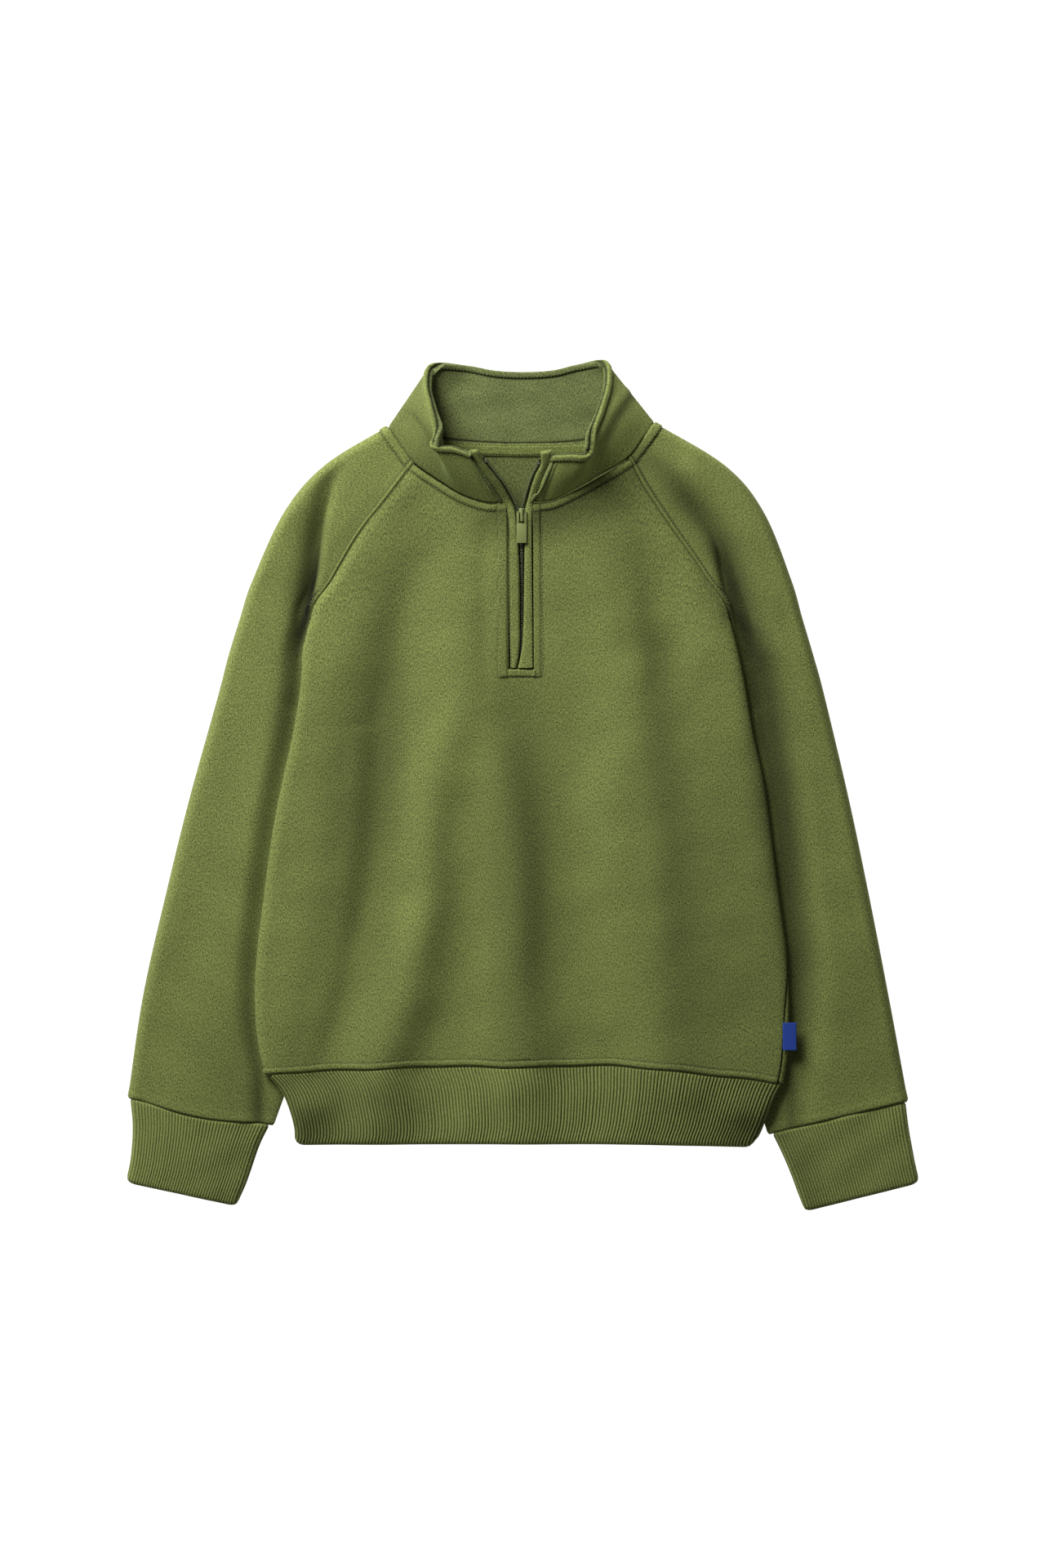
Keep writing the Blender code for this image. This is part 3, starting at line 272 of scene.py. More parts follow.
# ---- soft shade in the deepest hollows: the same columns, with an amount for height ----
SLEEVE_SHADES = {
    -1: (((216.0, -135.0, 0.0, 9.0, 5.0), (200.0, -138.5, 0.4, 8.0, 3.4),
          (187.0, -140.5, 0.9, 10.0, 2.8), (174.0, -142.8, 1.4, 11.0, 2.8),
          (152.0, -145.8, 2.0, 11.5, 3.0), (129.0, -150.2, 2.1, 11.0, 3.0),
          (112.0, -154.0, 1.8, 10.0, 3.5), (98.0, -157.5, 1.0, 9.0, 4.0),
          (82.0, -160.0, 0.2, 8.0, 4.0), (70.0, -162.0, 0.0, 8.0, 4.0)),
         # above the cuff, towards the body
         ((-140.0, -200.0, 0.0, 26.0, 20.0), (-190.0, -203.0, 0.35, 26.0, 20.0),
          (-225.0, -205.0, 0.5, 26.0, 20.0), (-250.0, -212.0, 0.2, 26.0, 20.0))),
    1: (((222.0, 112.0, 0.0, 12.0, 10.0), (205.0, 121.0, 0.6, 14.0, 12.0),
         (187.0, 132.5, 1.1, 15.0, 15.0), (172.0, 141.0, 1.5, 14.0, 17.0),
         (152.0, 146.5, 1.8, 8.5, 16.0), (135.0, 150.5, 1.9, 10.0, 16.0),
         (120.0, 154.5, 1.6, 9.0, 18.0), (106.0, 160.0, 0.9, 8.0, 19.0),
         (92.0, 166.0, 0.35, 7.0, 18.0), (78.0, 170.0, 0.0, 6.0, 16.0)),
        # below the shoulder, where the collar keeps the light off
        ((250.0, 76.0, 0.0, 14.0, 12.0), (230.0, 96.0, 0.8, 15.0, 13.0),
         (208.0, 113.0, 0.7, 15.0, 13.0), (188.0, 120.0, 0.25, 14.0, 13.0),
         (172.0, 126.0, 0.0, 14.0, 13.0))),
}
BODY_SHADES = (
    # the hollow between the wearer's right side and the long fold
    ((222.0, -85.0, 0.0, 22.0, 30.0), (205.0, -85.0, 0.5, 22.0, 30.0),
     (175.0, -86.0, 0.5, 22.0, 24.0), (130.0, -98.0, 0.55, 22.0, 20.0),
     (94.0, -94.0, 0.5, 26.0, 16.0), (60.0, -92.0, 0.75, 42.0, 14.0),
     (-21.0, -95.0, 0.75, 45.0, 12.0), (-79.0, -105.0, 0.4, 40.0, 14.0),
     (-137.0, -95.0, 0.3, 24.0, 14.0), (-184.0, -100.0, 0.25, 22.0, 14.0),
     (-215.0, -100.0, 0.0, 22.0, 14.0)),
    # the hollow below the placket
    ((86.0, -4.0, 0.0, 16.0, 20.0), (60.0, -4.0, 0.45, 18.0, 26.0), (20.0, -6.0, 0.75, 18.0, 32.0),
     (-21.0, -9.0, 0.8, 18.0, 36.0), (-79.0, -11.0, 0.75, 18.0, 36.0),
     (-137.0, -10.0, 0.5, 17.0, 36.0), (-184.0, -8.0, 0.4, 17.0, 36.0),
     (-215.0, -8.0, 0.1, 17.0, 36.0)),
    # the hollow before the fold on the wearer's left
    ((122.0, 98.0, 0.0, 12.0, 14.0), (100.0, 100.0, 0.5, 13.0, 15.0), (80.0, 101.0, 0.8, 14.0, 16.0),
     (36.0, 98.0, 0.8, 15.0, 16.0), (7.0, 98.0, 0.6, 15.0, 18.0), (-21.0, 102.0, 0.5, 15.0, 20.0),
     (-79.0, 109.0, 0.5, 15.0, 20.0), (-137.0, 116.0, 0.35, 16.0, 20.0),
     (-200.0, 120.0, 0.3, 18.0, 20.0), (-222.0, 120.0, 0.0, 18.0, 20.0)),
    # where the wearer's left sleeve is sewn on and goes under
    ((158.0, 124.0, 0.0, 12.0, 16.0), (138.0, 134.0, 0.5, 12.0, 16.0),
     (120.0, 146.0, 0.7, 12.0, 16.0), (104.0, 150.0, 0.4, 10.0, 14.0), (88.0, 152.0, 0.0, 9.0, 14.0)),
    # painted light on the slope between the two folds
    ((54.0, -40.0, 0.0, 12.0, 12.0), (36.0, -39.0, -0.35, 12.0, 12.0), (8.0, -45.0, -0.7, 11.0, 11.0),
     (-14.0, -50.0, -0.3, 10.0, 10.0), (-42.0, -52.0, 0.0, 10.0, 10.0)),
    # below the collar on the wearer's left
    ((216.0, 62.0, 0.0, 20.0, 22.0), (200.0, 70.0, 0.35, 22.0, 24.0), (176.0, 64.0, 0.65, 24.0, 26.0),
     (152.0, 74.0, 0.35, 26.0, 26.0), (110.0, 84.0, 0.25, 26.0, 26.0), (90.0, 90.0, 0.0, 24.0, 24.0)),
)
# painted shadow of the body's edge on the sleeve beside it: y, then amount, full reach and fade on the
# wearer's right and left
BODY_EDGE_SHADOW = ((128.0, 0.0, 2.0, 8.0, 0.0, 6.0, 12.0), (110.0, 0.6, 3.0, 20.0, 0.8, 12.0, 22.0),
               (92.0, 1.0, 3.0, 24.0, 1.5, 14.0, 26.0), (65.0, 1.1, 3.0, 26.0, 1.65, 16.0, 26.0),
               (20.0, 0.6, 4.0, 22.0, 1.6, 13.0, 24.0),
               (-21.0, 0.4, 4.0, 18.0, 1.6, 12.0, 22.0), (-80.0, 0.5, 3.0, 14.0, 1.45, 10.0, 22.0),
               (-137.0, 0.8, 3.0, 13.0, 1.3, 8.0, 24.0), (-200.0, 1.3, 3.0, 14.0, 1.1, 4.0, 18.0),
               (-240.0, 1.5, 3.0, 14.0, 1.1, 4.0, 18.0))
# painted shade on the front's side on the wearer's left, as it turns down: y, amount and reach
TURNED_SIDE_SHADE = ((100.0, 0.0, 10.0), (65.0, 0.4, 12.0), (20.0, 0.8, 17.0), (-21.0, 0.8, 20.0),
               (-80.0, 0.5, 18.0), (-137.0, 0.1, 10.0), (-200.0, 0.0, 10.0))
# painted shade on the front beyond its last fold: y and amount
SHADE_BEYOND_FOLD = ((60.0, 0.0), (0.0, 0.22), (-80.0, 0.3), (-137.0, 0.38), (-200.0, 0.3))
# painted shadow of the collar on the front below it: x and amount
PAINTED_COLLAR_SHADOW = ((-58.0, 0.0), (-38.0, 0.35), (-20.0, 0.8), (0.0, 1.0), (10.0, 1.4),
                (25.0, 1.15), (50.0, 0.95), (82.0, 0.8), (104.0, 0.0))


# ---- colours, light and camera ----
JERSEY_COLOR = (0.172, 0.204, 0.057)
# the inner collar's jersey: the same cloth, made darker as painted shade
INSIDE_SHADED_COLOR = (0.134, 0.158, 0.054)
# the fleece inside face's own colour, made darker as painted shade for the inside seen through the
# collar's opening
FLEECE_SHADED_COLOR = (0.100, 0.118, 0.036)
RIB_COLOR = (0.252, 0.296, 0.086)
# the tape's and coil's green, made darker as painted shade where they lie in the welts' shadow
TAPE_SHADED_COLOR = (0.060, 0.072, 0.026)
# the thread's green, made darker as painted shade so the stitch lines read as dark dotted lines
THREAD_SHADED_COLOR = (0.152, 0.180, 0.060)
PULL_COLOR = (0.200, 0.235, 0.075)
LABEL_COLOR = (0.022, 0.060, 0.330)
METAL_COLOR = (0.62, 0.62, 0.58)
FLOOR_COLOR = (0.20, 0.20, 0.20)
FLOOR_SIZE, FLOOR_Z = 8.0, -0.0003       # metres, just under the garment
FLOOR_GLOW = 1.0
WORLD_LIGHT = 0.11
LAMPS = (("left_softbox", (-0.92, 1.31, 0.92), 1.0, 56.5),)
CAMERA_PLACE = (0.0006, 0.0017, 3.0)     # metres, straight above
CAMERA_LENS, CAMERA_SENSOR = 96.66, 36.0
MATERIAL = {}


# ---- small helpers ----
def smooth(t):
    t = np.clip(t, 0.0, 1.0)
    return t * t * (3 - 2 * t)


def bump(x, centre, width):
    return np.exp(-((np.asarray(x) - centre) / width) ** 2)


def through(rows, stations):
    """Values at fractional row numbers, by a Catmull-Rom curve through the rows."""
    rows = np.asarray(rows, float)
    stations = np.atleast_1d(np.asarray(stations, float))
    last = len(rows) - 1
    i = np.clip(np.floor(stations).astype(int), 0, last - 1)
    t = (stations - i)[:, None]
    p1, p2 = rows[i], rows[i + 1]
    p0 = np.where((i > 0)[:, None], rows[np.maximum(i - 1, 0)], 2 * p1 - p2)
    p3 = np.where((i + 2 <= last)[:, None], rows[np.minimum(i + 2, last)], 2 * p2 - p1)
    return 0.5 * (2 * p1 + (p2 - p0) * t + (2 * p0 - 5 * p1 + 4 * p2 - p3) * t ** 2
                  + (3 * p1 - p0 - 3 * p2 + p3) * t ** 3)


def falling(rows, column, key=0, fine=40):
    """A lookup of one column by y, along a smooth curve through rows that run down."""
    dense = through(rows, np.linspace(0, len(rows) - 1, (len(rows) - 1) * fine + 1))
    keys = np.maximum.accumulate(-dense[:, key])
    return lambda y: np.interp(-np.asarray(y, float), keys, dense[:, column])


def resample(points, want):
    """Points of a path at the distances that want gives for the path's length."""
    steps = np.linalg.norm(np.diff(points, axis=0), axis=1)
    along = np.concatenate([[0], np.cumsum(steps)])
    spots = want(along[-1])
    return np.stack([np.interp(spots, along, points[:, k]) for k in range(3)], axis=1)


NEAR_SEAM = (0, 0.35, 0.75, 1.2, 1.75, 2.4, 3.1, 3.7, 4.2, 4.7, 5.3, 6.0, 7.0, 8.4)


def from_seam(count, near=NEAR_SEAM):
    """Distances that are close together beside a seam, then even to the path's end."""
    def want(length):
        head = np.array(near) * min(1.0, 0.6 * length / near[-1])
        return np.concatenate([head, np.linspace(head[-1], length, count + 1)[1:]])
    return want


def evenly(count):
    return lambda length: np.linspace(0, length, count + 1)


def fold_field(folds, x, y):
    """Sum of folds at x, y. Each has its own height and widths along its line."""
    total = 0.0
    for rows in folds:
        line = {name: falling(rows, k, fine=12)(y) for k, name in enumerate(FOLD_COLUMNS)}
        off = x - line["x"]
        width = np.where(off < 0, line["width_right"], line["width_left"])
        total = total + line["height"] * np.exp(-(off / width) ** 2)
    return total


def waves(x, y, seed, length=42.0, count=9):
    """Low uneven waves of the cloth, about one in size."""
    rng = np.random.default_rng(seed)
    total = 0.0
    for _ in range(count):
        angle, phase = rng.uniform(0, 2 * math.pi, 2)
        scale = 2 * math.pi / (length * rng.uniform(0.6, 1.6))
        total = total + np.sin(scale * (math.cos(angle) * x + math.sin(angle) * y) + phase)
    return total / math.sqrt(count)


# ---- meshes ----
def unit(v):
    return v / np.maximum(np.linalg.norm(v, axis=-1, keepdims=True), 1e-9)


def grid_normals(grid, ring=False):
    """Unit normals of a grid of points. A ring closes on itself across."""
    def along(axis, closed):
        if closed:
            return unit(np.roll(grid, -1, axis) - grid) + unit(grid - np.roll(grid, 1, axis))
        step = unit(np.diff(grid, axis=axis))
        first, last = step.take([0], axis), step.take([-1], axis)
        return np.concatenate([first, step], axis) + np.concatenate([step, last], axis)
    return unit(np.cross(along(1, ring), along(0, False)))


def distances(grid, axis):
    """Distance along each row (axis 1) or column (axis 0) from its first point."""
    steps = np.linalg.norm(np.diff(grid, axis=axis), axis=2)
    zero = np.zeros_like(steps.take([0], axis))
    return np.concatenate([zero, np.cumsum(steps, axis=axis)], axis=axis)


def cloth_uv(grid):
    """Distances along the rows and down the columns from the middle, in metres."""
    across, down = distances(grid, 1), distances(grid, 0)
    middle = grid.shape[1] // 2
    u = across - across[:, middle][:, None]
    v = np.repeat(-down[:, middle][:, None], grid.shape[1], axis=1)
    return np.stack([u, v], axis=2) * MM


def mesh_object(name, verts, quads, materials, uv=None, painted_shading=None, inside=None):
    """An object from points in mm and four-sided faces."""
    mesh = bpy.data.meshes.new(name)
    quads = np.asarray(quads, np.int32)
    mesh.vertices.add(len(verts))
    mesh.vertices.foreach_set("co", (np.asarray(verts) * MM).astype(np.float32).ravel())
    mesh.loops.add(quads.size)
    mesh.loops.foreach_set("vertex_index", quads.ravel())
    mesh.polygons.add(len(quads))
    mesh.polygons.foreach_set("loop_start", np.arange(0, quads.size, 4, dtype=np.int32))
    mesh.update(calc_edges=True)
    if uv is not None:
        layer = mesh.uv_layers.new(name="cloth")
        layer.data.foreach_set("uv", uv[quads.ravel()].astype(np.float32).ravel())
    # painted shading: shade painted into the colour at seams, creases, ribs and hollows, and light
    # where negative
    if painted_shading is not None:
        depth = mesh.attributes.new("painted_shading", "FLOAT", "POINT")
        depth.data.foreach_set("value", painted_shading.astype(np.float32))
    if inside is not None:
        mesh.polygons.foreach_set("material_index", inside.astype(np.int32))
    mesh.polygons.foreach_set("use_smooth", np.ones(len(quads), bool))
    for made in materials:
        mesh.materials.append(made)
    mesh.validate()
    obj = bpy.data.objects.new(name, mesh)
    bpy.context.scene.collection.objects.link(obj)
    return obj


def wall(name, grid, thickness, materials, relief=0.0, under=0.0, painted_shading=0.0, facing=None,
         ring=False, skip=None, painted_shading_under=None):
    """A closed thin wall on a grid of mid points. relief lifts its outer face, under its
    inner face. facing is the direction or directions that the outer face looks in. The
    shading amounts are painted shade on the outer and the inner face, and painted light
    where they are negative."""
    painted_shading_under = painted_shading * 0.5 if painted_shading_under is None else painted_shading_under
    shape = grid.shape[:2]
    relief, under, painted_shading, painted_shading_under = (np.broadcast_to(np.asarray(a, float), shape)
                                           for a in (relief, under, painted_shading, painted_shading_under))
    normals = grid_normals(grid, ring)
    aim = grid - grid.mean(axis=1, keepdims=True) if facing is None else np.asarray(facing)
    turned = float((normals * aim).sum()) < 0
    if turned:
        normals = -normals
    outer = grid + normals * (thickness / 2 + relief)[..., None]
    inner = grid - normals * (thickness / 2 + under)[..., None]
    count = shape[0] * shape[1]
    index = np.arange(count).reshape(shape)
    left = index if ring else index[:, :-1]
    right = np.roll(index, -1, axis=1) if ring else index[:, 1:]
    keep = np.ones((shape[0] - 1, left.shape[1]), bool)
    if skip is not None:
        keep[skip] = False
    face = np.stack([left[:-1], left[1:], right[1:], right[:-1]], axis=2)[keep]
    if not turned:
        face = face[:, ::-1]
    edges = np.concatenate([face[:, [k, (k + 1) % 4]] for k in range(4)])
    code = edges[:, 0] * count + edges[:, 1]
    open_edge = edges[~np.isin(code, edges[:, 1] * count + edges[:, 0])]
    a, b = open_edge[:, 0], open_edge[:, 1]
    rim = np.stack([b, a, a + count, b + count], axis=1)
    quads = np.concatenate([face, face[:, ::-1] + count, rim])
    inside = np.concatenate([np.zeros(len(face)), np.ones(len(face)), np.zeros(len(rim))])
    uv = cloth_uv(grid).reshape(-1, 2)
    verts = np.concatenate([outer.reshape(-1, 3), inner.reshape(-1, 3)])
    used = np.unique(quads)
    number = np.zeros(count * 2, int)
    number[used] = np.arange(len(used))
    obj = mesh_object(name, verts[used], number[quads], materials,
                      np.concatenate([uv, uv])[used],
                      np.concatenate([painted_shading.ravel(), painted_shading_under.ravel()])[used],
                      inside if len(materials) > 1 else None)
    return obj, outer, normals


def line_at(outer, normals, edge, distance, face=None):
    """Points and normals of the face, at a distance from one edge of the grid."""
    face = outer if face is None else face
    if edge in ("top", "bottom"):
        face, normals = face.transpose(1, 0, 2), normals.transpose(1, 0, 2)
    if edge in ("bottom", "last"):
        face, normals = face[:, ::-1], normals[:, ::-1]
    along = distances(face, 1)
    spots = np.broadcast_to(np.asarray(distance, float), (len(face),))
    points = np.array([[np.interp(s, a, f[:, k]) for k in range(3)]
                       for s, a, f in zip(spots, along, face)])
    up = np.array([[np.interp(s, a, n[:, k]) for k in range(3)]
                   for s, a, n in zip(spots, along, normals)])
    return points, unit(up)


def stitches(name, runs, slot, pitch=2.5, length=1.4, radius=0.27, seed=1):
    """Short stitches along runs of points and normals, each thread end sunk in the cloth."""
    rng = np.random.default_rng(seed)
    ring = np.array([(math.cos(a), math.sin(a)) for a in np.arange(6) * math.pi / 3])
    steps = ((-0.5, 0.45, -0.30), (-0.3, 1.0, 0.02), (0.3, 1.0, 0.02), (0.5, 0.45, -0.30))
    tube = [(r * 6 + k, r * 6 + (k + 1) % 6, (r + 1) * 6 + (k + 1) % 6, (r + 1) * 6 + k)
            for r in range(3) for k in range(6)]
    caps = [(3, 2, 1, 0), (5, 4, 3, 0), (18, 19, 20, 21), (18, 21, 22, 23)]
    verts, quads = [], []
    for points, up in runs:
        along = np.concatenate([[0], np.cumsum(np.linalg.norm(np.diff(points, axis=0), axis=1))])
        count = int(along[-1] / pitch)
        for k in range(count):
            spot = (k + 0.5) * pitch + rng.uniform(-0.12, 0.12)
            ends = [np.array([np.interp(spot + d, along, points[:, c]) for c in range(3)])
                    for d in (-length / 2, 0, length / 2)]
            t = unit(ends[2] - ends[0])
            n = unit(np.array([np.interp(spot, along, up[:, c]) for c in range(3)]))
            side = unit(np.cross(t, n))
            n = np.cross(side, t)
            base = len(verts) * 24
            body = [ends[1] + t * (along_by * length) + (side * c * swell + n * s * swell) * radius
                    + n * (rise + 0.04) for along_by, swell, rise in steps for c, s in ring]
            verts.append(body)
            quads += [[base + q for q in face] for face in tube + caps]
    obj = mesh_object(name, np.array(verts).reshape(-1, 3), quads, [MATERIAL["thread"]])
    return finish(obj, slot)


def finish(obj, slot, *nodes):
    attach(obj, GARMENT)
    if nodes:
        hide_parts(*nodes)
    return obj


# ---- where the seams and surfaces run ----
def dense(rows, start, end, count=600):
    return through([row[:3] for row in rows], np.linspace(start, end, count + 1))


SEAM = {side: dense(SLEEVES[side], 0, ARMPIT_STATION) for side in (-1, 1)}
UNDERARM = {side: dense(SLEEVES[side], ARMPIT_STATION, 10) for side in (-1, 1)}
BACK_SEAM = {side: dense([row[5:8] for row in SLEEVES[side]], 0, ARMPIT_STATION)
             for side in (-1, 1)}
EDGE = {side: falling(BODY, BODY_COLUMNS.index("edge_" + name)) for side, name in NAMES.items()}
UNDER = {side: falling(BODY, BODY_COLUMNS.index("under_" + name)) for side, name in NAMES.items()}
MIDDLE = falling(MID_HEIGHT, 1)
OPENING = {side: falling(SLOT[side], 1) for side in (-1, 1)}


def at(rows, y, column):
    """A column of dense rows that run down in y."""
    return np.interp(-np.asarray(y, float), -rows[:, 1], rows[:, column])


def sided(x, right, left):
    return np.where(np.asarray(x) < 0, right, left)


def inner_edge(x, y):
    """How far out the sleeve's inner edge lies at y, on the side of x."""
    return sided(x, at(UNDERARM[-1], y, 0), at(UNDERARM[1], y, 0))


def body_edge(side, y):
    """Half width of the body as it is seen from above."""
    y = np.asarray(y, float)
    return np.where(y >= VISIBLE_SEAM_END, at(SEAM[side], y, 0), EDGE[side](y))


def under(side, y):
    """Distance of the front's side edge in from the body's edge, on the underside."""
    if y >= VISIBLE_SEAM_END:
        return 0.0
    if y >= ARMPIT:
        return float(body_edge(side, y) - at(SEAM[side], y, 0))
    return float(UNDER[side](y))


def back_height(x, y):
    reach = inner_edge(x, np.minimum(y, ARMPIT))
    return GROUND + (OVER_SLEEVE - GROUND) * smooth((abs(x) - reach + 26) / 22) * smooth(
        (ARMPIT + 8 - y) / 12)


def front_height(x, y):
    """Mid height of the front panel, without the roll at its edges."""
    x, y = np.broadcast_arrays(np.asarray(x, float), np.asarray(y, float))
    middle = MIDDLE(y) + fold_field(BODY_FOLDS, x, y)
    edge = np.interp(y, (100, 125, 150, 180, 230), (13.7, 12.4, 11.6, 12, 13.5))
    edge = edge - sided(x, 0.0, 1.2) * smooth((110 - y) / 60)
    low = smooth((100 - y) / 110)
    ramp = sided(x, 54.0, 34.0 + 24.0 * low)
    start = sided(x, 22.0, 12.0 - 54.0 * low) + np.where(y < ARMPIT, inner_edge(x, y), np.interp(
        y, (ARMPIT, 150, 232), (126, 108, 75)))
    height = middle + (edge - middle) * smooth((abs(x) - start + ramp) / ramp)
    height = height + 0.22 * waves(x, y, 5, 46) * smooth((abs(x) - 14) / 20)
    floor = back_height(x, y) + LAYER + 0.4
    return floor + np.log1p(np.exp(np.clip((height - floor) / 0.5, -30, 30))) * 0.5


def seam_height(side, y):
    lap = (LAYER + 0.35) * smooth((VISIBLE_SEAM_END + 22 - y) / 20)
    return at(SEAM[side], y, 2) + lap


def lower_height(side, y):
    """Mid height of the body's lower layer near its edge."""
    if y < ARMPIT:
        return OVER_SLEEVE
    start = seam_height(side, y)
    return start + (OVER_SLEEVE - start) * smooth((85 - y) / 30)


def roll_point(side, y, q):
    """Points of the body's rolled edge; q is the distance in from the edge, positive on
    the underside and negative on the front."""
    q = np.asarray(q, float)
    edge = float(body_edge(side, y))
    x = side * (edge - abs(q))
    low = lower_height(side, y)
    rolled = smooth((VISIBLE_SEAM_END - y) / 9)
    top = float(front_height(side * (edge - ROLL_WIDTH), y))
    centre = low + rolled * (top - low) * 0.45
    share = np.minimum(abs(q) / ROLL_WIDTH, 1.0)
    arc = np.sqrt(1 - (1 - share) ** 2)
    ease = rolled * arc + (1 - rolled) * (smooth(share * 0.5 + 0.5) * 2 - 1)
    reach = np.where(share >= 1, front_height(x, y), top)
    z = np.where(q >= 0, centre + (low - centre) * arc, centre + (reach - centre) * ease)
    return np.stack([x, np.full_like(x, y), z], axis=1)


def droop(side, y):
    """How much lower the body's sections end than they start, near the hem."""
    return HEM_DROP[side] * smooth((-y - 150) / 55)


def bow(x, mid_y, side_y, edge):
    """y along a section that bends from the middle to its sides."""
    share = np.clip((abs(x) / edge - 0.25) / 0.75, 0, 1)
    return mid_y + (side_y - mid_y) * share ** 1.6


# how far the topstitching lies from the placket's opening on each side
PLACKET_LINE = {-1: 7.4, 1: 6.4}
# soft shade across each cuff, from the wearer's right
CUFF_SHADES = {-1: (0.1, 0.16, 0.26, 0.32), 1: (0.35, 0.12, 0.1, 0.1)}


def seam_wave(x):
    """How the hem seam wanders up and down along the band."""
    return 0.7 * waves(x, 0 * x, 61, 62, 4)


def neck_seam(front):
    """The neck seam in x and y, on the front or on the back."""
    spans = ((0, 4), (14, 18)) if front else ((6.6, 11.4),)
    line = np.concatenate([through(COLLAR, np.linspace(a, b, 80))[:, :2] for a, b in spans])
    return line[np.argsort(line[:, 0])]


# ---- the body panels ----
UNDER_COLUMNS, SIDE_COLUMNS, PANEL_COLUMNS, PLACKET_COLUMNS = 24, 18, 46, 14
FRONT_ROWS = [*SHOULDER_ROWS, *((row[0], row[1]) for row in BODY)]


def front_stations():
    """Fractional row numbers of the front: close together at neck, placket end and hem."""
    mids = [mid for _, mid in FRONT_ROWS]
    wanted = np.concatenate([
        200.6 - np.array((0, 0.3, 0.7, 1.2, 1.8, 2.5, 3.2, 3.8, 4.3, 4.8, 5.4, 6.2, 7.4)),
        np.linspace(191, 90, 46), np.linspace(88.5, 74.0, 24), np.linspace(72, -188, 100),
        -198.6 - np.array((8.6, 7.2, 6.2, 5.4, 4.8, 4.3, 3.8, 3.3, 2.6, 1.9, 1.2, 0.6, 0.1)) * -1,
        [-199.35]])
    return np.interp(-wanted, -np.array(mids), np.arange(len(mids)))


